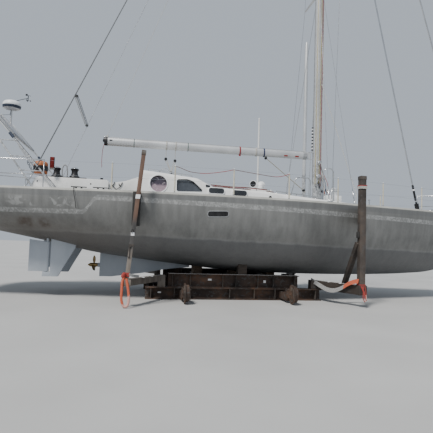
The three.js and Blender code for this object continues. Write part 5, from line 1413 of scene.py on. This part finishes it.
def make_deck_gear():
    gear = Shape("deck_gear")
    top = DECK_TOP
    for side in SIDES:
        # Genoa track with its car, mooring cleats and fairleads
        track = [(x, side * (hull_beam(x) - 0.36), top + 0.012) for x in np.linspace(0.3, 2.6, 9)]
        gear.ribbon(track, 0.032, 0.024, ACROSS, BLACK)
        y = side * (hull_beam(1.1) - 0.36)
        gear.box((1.02, y - 0.028, top + 0.020), (1.18, y + 0.028, top + 0.055), BLACK, 0.006)
        gear.turn(bead(0.016, 0.040, 0.034, 0.014), (1.10, y, top + 0.095), BLACK, ACROSS)
        for x in (-6.6, -0.2, 7.1):
            cleat(gear, x, side * (hull_beam(x) - 0.20), top)
        for x in (-3.84, -3.31):
            y = side * (hull_beam(x) - 0.10)
            gear.box((x - 0.19, y - 0.018, top + 0.082), (x + 0.19, y + 0.018, top + 0.104), BLACK, 0.006)
            for foot in (x - 0.065, x + 0.065):
                gear.box((foot - 0.022, y - 0.022, top), (foot + 0.022, y + 0.022, top + 0.09), BLACK)
        # Two short posts abreast of the coachroof's forward end
        for x in (4.02, 4.27):
            post = knob((0.045, 0), (0.045, 0.008), (0.020, 0.012), (0.020, 0.20), (0.030, 0.205),
                        (0.030, 0.235), (0.012, 0.245))
            gear.turn(post, (x, side * (hull_beam(x) - 0.30), top), STAINLESS)
        # Caps, wire eyes and foot plates of the stanchions
        for x in STANCHIONS:
            y = side * (rail_edge(x) - 0.07)
            gear.turn([(0, 0), (0.017, 0), (0.017, 0.010), (0.010, 0.018), (0, 0.019)], (x, y, 3.45),
                      MOULDED, sides=14)
            for z in (3.085, 3.435):
                gear.tube([(x - 0.028, y, z), (x + 0.028, y, z)], 0.008, STAINLESS)
            gear.turn([(0.014, 0), (0.022, 0), (0.020, 0.07), (0.014, 0.075)], (x, y, top), STAINLESS,
                      sides=16)
            gear.tube([(x, y, 2.80), (x, y, 3.43)], 0.019, SLEEVE, 12)
    # Anchor locker lid, bow roller, the windlass's drums and brake, and the chain
    gear.plate([(7.85, -0.30), (8.45, -0.19), (8.45, 0.19), (7.85, 0.30)], top, top + 0.018, DECK_GRIP, "xy",
               0.004)
    cheek = [(8.75, 2.735), (9.38, 2.735), (9.46, 2.80), (9.42, 2.90), (9.30, 2.86), (8.75, 2.80)]
    for y in (-0.09, 0.09):
        gear.plate(cheek, y - 0.005, y + 0.005, STAINLESS)
    gear.turn(bead(0.085, 0.05, 0.032, 0.085), (9.37, 0, 2.80), BLACK, ACROSS)
    drum = curve([(0.088, 0.092), (0.066, 0.12), (0.064, 0.16), (0.086, 0.186)], 10)
    for side in SIDES:
        gear.turn([(0, 0.092)] + drum + [(0, 0.192)], (7.52, 0, DECK + 0.13), STAINLESS, (0, side, 0), 32)
    gear.turn(knob((0.012, 0), (0.012, 0.10), (0.006, 0.105)), (7.52, -0.03, DECK + 0.19), BLACK)
    gear.tube(eased([(7.62, -0.02, DECK + 0.17), (7.9, -0.01, DECK + 0.05), (8.6, 0, DECK + 0.05),
                     (9.35, 0, DECK + 0.135)], 40), 0.010, GALVANISED, 6)
    gear.build(slot="stainless")


def make_lids():
    for name, body, well, top in (("fore_hatch_trim", "fore_lid", FORE_WELL, DECK + 0.0903),
                                  ("saloon_hatch_trim", "saloon_lid", SALOON_WELL, 3.0803)):
        trim = Shape(name, body)
        (x0, y0, _), (x1, y1, _) = well
        edge = rectangle(x0 - 0.05, x1 + 0.036, y0 - 0.05, y1 + 0.05, 0.05)
        inner = grown(edge, -0.045)
        section = [(edge, top - 0.024), (edge, top + 0.003), (inner, top + 0.005), (inner, top - 0.002)]
        rings = [[at(*ring[i], z) for ring, z in section] for i in range(len(edge))]
        trim.skin(rings, GALVANISED, closed=True)
        for y in (-0.13, 0.13):
            trim.turn(knob((0.022, 0), (0.022, 0.006), (0.012, 0.012)), (x0 - 0.012, y, top + 0.002), BLACK)
        for y in (-0.1, 0.1):
            trim.box((x1 - 0.03, y - 0.022, top), (x1 + 0.07, y + 0.022, top + 0.008), GALVANISED, 0.002)
        trim.build(slot="window_glass")


def make_door_trim():
    trim = Shape("door_trim", "door")
    x, y, z = -2.355, -0.285, 2.86
    pane = rectangle(-0.22, 0.22, 2.78, 3.22, 0.08)
    trim.plate(grown(pane, 0.028), x - 0.008, x + 0.002, BLACK, "yz", 0.002)
    trim.plate(pane, x - 0.011, x - 0.006, DARK_GLASS, "yz")
    trim.plate(rectangle(-0.24, 0.24, 2.38, 2.68, 0.04), x - 0.006, x + 0.002, WHITE, "yz", 0.002)
    trim.turn(knob((0.026, 0), (0.026, 0.010), (0.011, 0.014), (0.011, 0.042)), (x, y, z),
              STAINLESS, (-1, 0, 0))
    trim.tube([(x - 0.042, y, z), (x - 0.046, -0.25, z), (x - 0.042, -0.17, 2.858)], [0.010, 0.010, 0.007],
              STAINLESS)
    trim.build(slot="white_paint")


# Stern gantry
FORE_LEG = ((-4.37, 1.8, 2.72), (-6.33, 1.5, 4.93))
AFT_LEG = ((-4.93, 1.8, 2.72), (-6.18, 1.54, 4.39))
PANEL_RUN = (0.61, 0.695)  # how far the solar panel leads forward and down
DECK_PLATE = [(0.014, 0), (0.045, 0), (0.045, 0.008), (0.020, 0.012), (0.014, 0.03)]


def leg_at(leg, z, side=1):
    """The point in station X on a leg or a post, given by its ends, at a height on one side."""
    (x0, y0, z0), (x1, y1, z1) = leg[:2]
    t = (z - z0) / (z1 - z0)
    return x0 + (x1 - x0) * t, side * (y0 + (y1 - y0) * t), z


def add_panel_frame(gear):
    """Frame of the solar panel and the junction boxes underneath."""
    ahead, down = PANEL_RUN
    run = math.hypot(ahead, down)
    along, out = Vector((ahead, 0, -down)) / run, Vector((down, 0, ahead)) / run
    high = at(-6.33, 0, 4.93)

    def rail(t0, y0, t1, y1):
        ends = (high + along * t + out * 0.037 + Vector((0, y, 0)) for t, y in ((t0, y0), (t1, y1)))
        gear.bar(*ends, 0.012, 0.044, GALVANISED, 0.002)

    for t in (-0.05, run + 0.05):
        for y0, y1 in ((-1.15, -0.05), (0.05, 1.15)):
            rail(t, y0, t, y1)
    for y in (-1.153, -0.0485, 0.0485, 1.153):
        rail(-0.055, y, run + 0.055, y)
    for y in (-0.6, 0.6):
        box = high + along * 0.45 + Vector((0, y, 0)) + out * 0.005
        gear.bar(box - along * 0.06, box + along * 0.06, 0.11, 0.024, BLACK)


def make_gantry_gear():
    gear = Shape("gantry_fittings")
    for side in SIDES:
        for leg in (FORE_LEG, AFT_LEG):
            x, y, _ = leg_at(leg, 2.76, side)
            gear.turn([(0, 0), (0.075, 0), (0.075, 0.010), (0.034, 0.016), (0.030, 0.06), (0.0245, 0.065)],
                      (x, y, DECK_TOP), GALVANISED)
        # Dark padding and black bands on the forward leg, clamps on both
        for high, low, r, paint, sides in ((4.128, 4.012, 0.036, NAVY, 16), (3.30, 3.27, 0.029, BLACK, 14),
                                           (4.45, 4.42, 0.029, BLACK, 14)):
            gear.tube([leg_at(FORE_LEG, high, side), leg_at(FORE_LEG, low, side)], r, paint, sides)
        for z in (3.19, 3.54, 3.94):
            for leg in (FORE_LEG, AFT_LEG):
                gear.turn(bead(0.018, 0.030, 0.032, 0.012), leg_at(leg, z, side), GALVANISED, AHEAD, 14)
    # A cable up the starboard leg to the antenna
    rise = [leg_at(FORE_LEG, z, -1) for z in (2.74, 3.3, 3.9, 4.5, 4.9)]
    across = [(-6.30, -1.2, 4.955), (-6.30, -0.1, 4.955), (-6.09, -0.03, 5.0), (-6.06, -0.03, 5.14)]
    gear.tube([(x + 0.028, y - 0.01, z) for x, y, z in rise] + across, 0.006, BLACK, 6)
    add_panel_frame(gear)
    # Chain-like tackle that hangs on the starboard quarter
    for k in range(7):
        spot = at(-5.15 + 0.13 * k / 6, -1.62, 3.42 - 0.25 * k / 6)
        flat = Vector((0.020, 0.008, 0) if k % 2 else (0.008, 0.020, 0))
        link = [spot + flat * math.cos(a) + Vector((0, 0, 0.030 * math.sin(a))) for a in angles(12)]
        gear.tube(link, 0.006, BLACK, 6, closed=True)
    gear.build(slot="stainless")


def make_stern_fittings():
    """A light, a seat and plates under the feet of the stern rail."""
    rail = Shape("stern_fittings")
    rail.turn(knob((0.030, 0), (0.030, 0.05), (0.020, 0.06)), (-7.08, 0, 3.464), MOULDED)
    for side in SIDES:
        for x, y in ((-6.0, rail_edge(-6.0) - 0.07), (-7.08, 1.48), (-7.08, 0.45)):
            rail.turn(DECK_PLATE, (x, side * y, DECK_TOP), STAINLESS)
    rail.box((-7.20, -0.42, 2.98), (-7.10, 0.42, 3.02), TIMBER)
    for y in (-0.28, 0.28):
        rail.tube([(-7.16, y, 3.02), (-7.16, y, 3.46), (-7.09, y, 3.455)], 0.012, STAINLESS, 10)
        rail.tube([(-7.13, y, 2.99), (-7.094, y, 2.99)], 0.010, STAINLESS, 10)
    rail.build(slot="stainless")


# Yard carriage
def bolt(gear, spot, way=(0, 0, 1), r=0.016):
    gear.turn(knob((r, 0), (r, r * 0.7), (r * 0.6, r * 0.9)), spot, RUST, way, 6)


def make_carriage_gear():
    gear = Shape("carriage_fittings")

    def slab(xs, ys, zs, paint, soft=0.0):
        (x0, x1), (y0, y1), (z0, z1) = xs, sorted(ys), zs
        gear.box((x0, y0, z0), (x1, y1, z1), paint, soft)

    for side in SIDES:
        y = side * BEAM_Y
        # Stiffeners between the flanges of the lower and the upper beams, each with a weld at its foot
        for half, z0, z1, xs in ((0.15, 0.0, 0.32, (-1.95, -1.32, -0.88, 0.2, 0.9, 1.5, 1.94, 2.7)),
                                 (0.13, 0.3203, 0.69, (-1.38, -0.9, 0.0, 0.37, 1.0, 1.45, 2.08))):
            for x in xs:
                for out in SIDES:
                    ys = (y + out * 0.007, y + out * (half - 0.012))
                    slab(about(x, 0.006), ys, (z0 + 0.023, z1 - 0.023), GREY_STEEL)
                    slab(about(x, 0.014), ys, (z0 + 0.022, z0 + 0.030), GREY_STEEL)
        for x in np.linspace(-1.42, 2.12, 11):
            for out in (-0.10, 0.10):
                bolt(gear, (x, y + out, 0.3443))
        # A white strip along the upper beam's outer top edge: a painted highlight
        gear.ribbon([(x, y + side * 0.128, 0.6915) for x in (-1.49, 2.19)], 0.008, 0.004, ACROSS, WHITE)
        # Pale marks painted on the beams' webs
        for x, z, wide, deep in ((-0.35, 0.53, 0.10, 0.05), (1.22, 0.50, 0.07, 0.07),
                                 (-1.72, 0.17, 0.09, 0.04)):
            slab(about(x, wide / 2), about(y + side * 0.007, 0.001), about(z, deep / 2), WHITE)
        # Axle caps, edges, gussets and bolts of the wheel forks
        for _, x in WHEELS:
            for out in SIDES:
                face = x + out * 0.0825
                gear.turn([(0.029, 0), (0.055, 0), (0.055, 0.012), (0.029, 0.012)],
                          (face, side * WHEEL_Y, WHEEL_Z), RUST, (out, 0, 0), 20)
                slab(about(face, 0.004), (side * 1.80, side * 2.32), (0.365, 0.379), GREY_STEEL, 0.001)
            for out in SIDES:
                slab(about(x + out * 0.085, 0.006), (side * 1.79, side * 1.97), (0.10, 0.32), RUST, 0.002)
            for k in range(4):
                bolt(gear, (x + (0.06 if k % 2 else -0.06), side * (1.42 + 0.12 * (k // 2)), 0.250))
    # Cross rods between the beams, with nuts
    for x in (-1.8, 2.6):
        gear.tube([(x, -1.24, 0.17), (x, 1.24, 0.17)], 0.016, RUST, 10)
        for y in (-1.21, 1.21):
            gear.turn(disc(0.034, -0.02, 0.02), (x, y, 0.17), RUST, ACROSS, 6)
    gear.build(slot="rusty_steel")


def make_wheel_hubs():
    """Hubs, rings and bolts of the rail wheels."""
    for name, x in WHEELS:
        for side, word in SIDE_NAMES:
            hub = Shape(f"wheel_hub_{name}_{word}", f"wheel_{name}_{word}")
            for out in SIDES:
                centre = at(x + out * 0.0553, side * WHEEL_Y, WHEEL_Z)
                for profile, paint, sides in (
                        ([(0.026, 0), (0.060, 0), (0.056, 0.018), (0.026, 0.018)], RUST, 28),
                        ([(0.150, 0), (0.190, 0), (0.188, 0.008), (0.152, 0.008)], GREY_STEEL, 36)):
                    hub.turn(profile, centre, paint, (out, 0, 0), sides)
                for a in angles(5):
                    spot = centre + Vector((0, 0.10 * math.cos(a), 0.10 * math.sin(a)))
                    bolt(hub, spot, (out, 0, 0), 0.013)
            hub.build(slot="rusty_steel")


# Posts: both ends and half the thickness
AFT_POST = ((-2.58, 2.75, 0.48), (-2.295, 2.60, 3.71), 0.05)
FORE_POST = ((3.40, 2.60, 0.35), (3.40, 2.60, 3.43), 0.0775)


def collar(gear, post, side, low, high, paint, proud=0.006):
    """A band around a post."""
    rings = []
    for z, grow in ((low, 0), (low, proud), (high, proud), (high, 0)):
        (x, y, _), half = leg_at(post, z, side), post[2] + grow
        rings.append([at(x + a * half, y + b * half, z) for a, b in SQUARE])
    gear.skin([[ring[i] for ring in rings] for i in range(4)], paint, closed=True)


def make_post_gear():
    gear = Shape("post_fittings")
    for side in SIDES:
        collar(gear, AFT_POST, side, 2.53, 2.63, MOULDED, 0.003)
        for post, low, high in ((AFT_POST, 3.60, 3.70), (AFT_POST, 1.40, 1.45), (FORE_POST, 3.33, 3.42)):
            collar(gear, post, side, low, high, GREY_STEEL)
        y = side * 2.60
        gear.box((3.27, y - 0.05, 1.80), (3.33, y + 0.05, 1.96), RUBBER, 0.01)
        # A small box with its cable, and a rod on two brackets
        x, y, _ = leg_at(AFT_POST, 1.69)
        face = side * (y + 0.052)
        gear.plate([(x - 0.045, 1.65), (x + 0.035, 1.65), (x + 0.035, 1.73), (x - 0.045, 1.73)], face - 0.006,
                   face + 0.006, MOULDED)
        gear.tube(eased([(x + dx, face + side * out, z) for dx, out, z in
                         ((-0.02, 0, 1.70), (-0.03, 0.03, 1.76), (-0.01, 0.04, 1.80), (0.02, 0.02, 1.74))],
                        12), 0.008, BLACK)
        x, y, _ = leg_at(AFT_POST, 1.28)
        y = side * (y + 0.062)
        gear.tube([(x - 0.03, y, 1.43), (x - 0.02, y, 1.13)], 0.012, GREY_STEEL, 10)
        for z in (1.40, 1.16):
            x, y, _ = leg_at(AFT_POST, z)
            ys = sorted((side * (y + 0.04), side * (y + 0.075)))
            gear.box((x - 0.05, ys[0], z - 0.012), (x, ys[1], z + 0.012), GREY_STEEL, 0.003)
        # Bolts through the feet, and white strips along the arms' top edges: a painted highlight where light
        # falls on the arms
        for post, arm_top, inner in ((AFT_POST, 0.64, -1.64), (FORE_POST, 0.57, 2.70)):
            x, y, _ = post[0]
            for dx in (-0.085, 0.085):
                for dy in (-0.085, 0.085):
                    bolt(gear, (x + dx, side * (y + dy), arm_top))
            a = at(x + (0.11 if inner > x else -0.11), side * (y - 0.07), arm_top + 0.002)
            b = at(inner, side * 1.20, arm_top + 0.002)
            gear.ribbon([a, b], 0.012, 0.004, (1, 1, 0), WHITE)
            for k in (0.35, 0.62):
                spot = a.lerp(b, k)
                gear.box(spot - Vector((0.03, 0.03, 0.012)), spot + Vector((0.03, 0.03, 0.006)), MOULDED,
                         0.002)
    # Turns of rope around the starboard fore post
    for k in range(4):
        z = 3.09 + k * 0.024
        collar(gear, FORE_POST, -1, z, z + 0.020, ROPES["red" if k == 3 else "white"], 0.018)
    gear.build(slot="rusty_steel")


def make_post_straps():
    """A knot and straps made fast on the starboard posts."""
    straps = Shape("post_straps")
    red = STRAPS["red"]
    straps.turn([(0, -0.07), (0.035, -0.06), (0.048, 0), (0.038, 0.055), (0, 0.07)],
                (-2.645, -2.83, 0.735), red, (0.5, 0, 1), 18)
    collar(straps, AFT_POST, -1, 0.70, 0.79, red, 0.008)
    straps.ribbon(eased([(-2.52, -2.80, 0.755), (-2.45, -2.79, 0.73), (-2.36, -2.70, 0.71),
                         (-2.29, -2.55, 0.69)], 12),
                  0.06, 0.005, (0.2, -0.1, 1), STRAPS["grey"])
    straps.ribbon([(3.345, -2.72, 0.56), (3.40, -2.76, 0.40), (3.46, -2.76, 0.19)], 0.045, 0.005,
                  (1, 0, 0.3), red)
    collar(straps, FORE_POST, -1, 0.54, 0.60, red)
    straps.build(slot="rope")


# Free cords, their lengths measured along their routes
def free_cord(name, stops, diameter, paints, body="yacht",
              flat=None):
    """paints holds pairs: the share of the cord up to which a paint reaches, and that paint."""
    path = eased(stops, 56)
    shape = Shape(name, body)
    if flat:
        shape.ribbon(path, diameter, 0.006, flat, paints[0][1])
    else:
        shape.tube(path, diameter / 2, paints[0][1], 12)
    piece = shape.build(slot="rope")

    def choose(centre, normal):
        nearest = min(range(len(path)), key=lambda i: (path[i] - centre).length)
        return next(i for i, (share, _) in enumerate(paints) if nearest <= share * len(path))

    repaint(piece, [paint for _, paint in paints], choose)


def make_ensign():
    """A plain red cloth with black edges and a pale hem, gathered and hung on the rail."""
    columns, rows, drop, top, wide = 49, 15, 0.32, 3.56, 0.115
    hoist, fly, hem, folds, depth = 6, 8, 3, 5, 0.022  # columns and rows of the edges, and the folds
    verts, faces = [], []
    for row in range(rows):
        share = row / (rows - 1)
        for k in range(columns):
            u = k / (columns - 1)
            fold = depth * (0.55 + 0.45 * share) * math.sin(u * folds * 2 * math.pi)
            verts.append(at(-4.60 + wide * u, ENSIGN_Y + fold, top - drop * share))
    for row in range(rows - 1):
        for k in range(columns - 1):
            i = row * columns + k
            faces.append((i, i + columns, i + columns + 1, i + 1))
    mesh = bpy.data.meshes.new("ensign")
    mesh.from_pydata(verts, [], faces)
    for paint in (STRAPS["red"], ROPES["black"], ROPES["white"]):
        mesh.materials.append(paint)
    for face in mesh.polygons:
        row, k = divmod(face.index, columns - 1)
        edge = k < hoist or k >= columns - fly
        face.material_index = 2 if row >= rows - hem else int(edge)
        face.use_smooth = True
    piece = bpy.data.objects.new("ensign", mesh)
    bpy.context.scene.collection.objects.link(piece)
    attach(piece, "yacht")


def make_cords():
    red, black, grey = ([(1, paint)] for paint in (ROPES["red"], ROPES["black"], STRAPS["grey"]))
    # The tail of a reefing line below the boom's end
    free_cord("boom_tail", [(-3.44, -0.03, 4.36), (-3.475, -0.02, 4.22), (-3.49, 0.0, 4.05),
                            (-3.495, 0.0, 3.85), (-3.483, 0.0, 3.655)], 0.014, red, body="boom_gear")
    # A shore cable that hangs over the toe rail
    hang = [(-3.96, 2.79, -0.30), (-3.955, 2.795, -0.02), (-3.95, 2.76, 0.035), (-3.93, 2.62, 0.045),
            (-3.89, 2.44, 0.045), (-3.867, 2.28, 0.045)]
    free_cord("shore_cable", [(x, -(hull_beam(x) + out), z) for x, z, out in hang], 0.014, black)
    # Lifting sling tied to the aft post, its far end a sleeved loop that reaches the ground
    free_cord("lifting_sling", [(-2.625, -2.815, 0.70), (-2.66, -2.86, 0.60), (-2.665, -2.90, 0.42),
                                (-2.665, -2.94, 0.20), (-2.62, -2.955, 0.06), (-2.575, -2.96, 0.03),
                                (-2.525, -2.955, 0.06), (-2.50, -2.93, 0.22), (-2.53, -2.89, 0.45),
                                (-2.575, -2.84, 0.66)], 0.060,
              [(0.40, STRAPS["orange"]), (0.80, STRAPS["pink"]), (1, STRAPS["orange"])])
    # Webbing that sags along the fore arm, from its packer to the post
    free_cord("sagging_webbing", [(2.60, -1.21, 0.578), (2.66, -1.32, 0.53), (2.75, -1.50, 0.45),
                                  (2.84, -1.69, 0.375), (2.915, -1.866, 0.355), (2.99, -2.02, 0.38),
                                  (3.07, -2.19, 0.46), (3.17, -2.41, 0.60), (3.25, -2.57, 0.665),
                                  (3.295, -2.66, 0.68)], 0.12,
              [(0.68, STRAPS["grey"]), (1, STRAPS["orange"])], flat=(0.25, 0.1, 1))
    # A hose looped between the starboard winches
    free_cord("winch_hose", [(x, -1.50, z) for x, z in
                             ((-4.325, 3.10), (-4.335, 3.26), (-4.31, 3.39), (-4.27, 3.42), (-4.23, 3.38),
                              (-4.205, 3.25), (-4.21, 3.10))], 0.028, grey)
    # The ropes that sag between the stanchions' tops, where lashings stand in for a lifeline
    for name, stops in (
            ("sagging_lifeline", [(-1.478, 3.43), (-1.377, 3.40), (-1.151, 3.321), (-0.961, 3.297),
                                  (-0.722, 3.294), (-0.271, 3.366), (-0.012, 3.43)]),
            ("sagging_lifeline_fore", [(0.032, 3.43), (0.30, 3.40), (0.685, 3.362), (1.162, 3.33),
                                       (1.40, 3.38), (1.518, 3.43)])):
        free_cord(name, [(x, -(rail_edge(x) - 0.05), z) for x, z in stops], 0.016,
                  [(0.55, STRAPS["brown"]), (1, STRAPS["red"])])
    make_ensign()
    # A loop of red line at the foot of the fore post
    free_cord("red_loop", [(3.40, -2.722, 0.56), (3.385, -2.75, 0.42), (3.375, -2.765, 0.25),
                           (3.415, -2.775, 0.17), (3.455, -2.765, 0.24), (3.455, -2.75, 0.42),
                           (3.44, -2.722, 0.56)], 0.022,
              [(0.5, STRAPS["red"]), (0.75, STRAPS["pink"]), (1, STRAPS["red"])])


make_stage()
make_cords()
make_hull()
make_doghouse()
make_coachroof()
make_winches()
make_wheel()
make_cockpit()
make_coaming_gear()
make_radome()
make_wind_sensor()
make_reel()
make_vents()
make_capsule_bands()
make_roof_gear()
make_led_lines()
make_boom_gear()
make_mainsheet()
make_mast_gear()
make_rigging_screws()
make_backstay_tackle()
make_furlers()
make_deck_gear()
make_lids()
make_door_trim()
make_gantry_gear()
make_stern_fittings()
make_carriage_gear()
make_wheel_hubs()
make_post_gear()
make_post_straps()
dress_nodes()
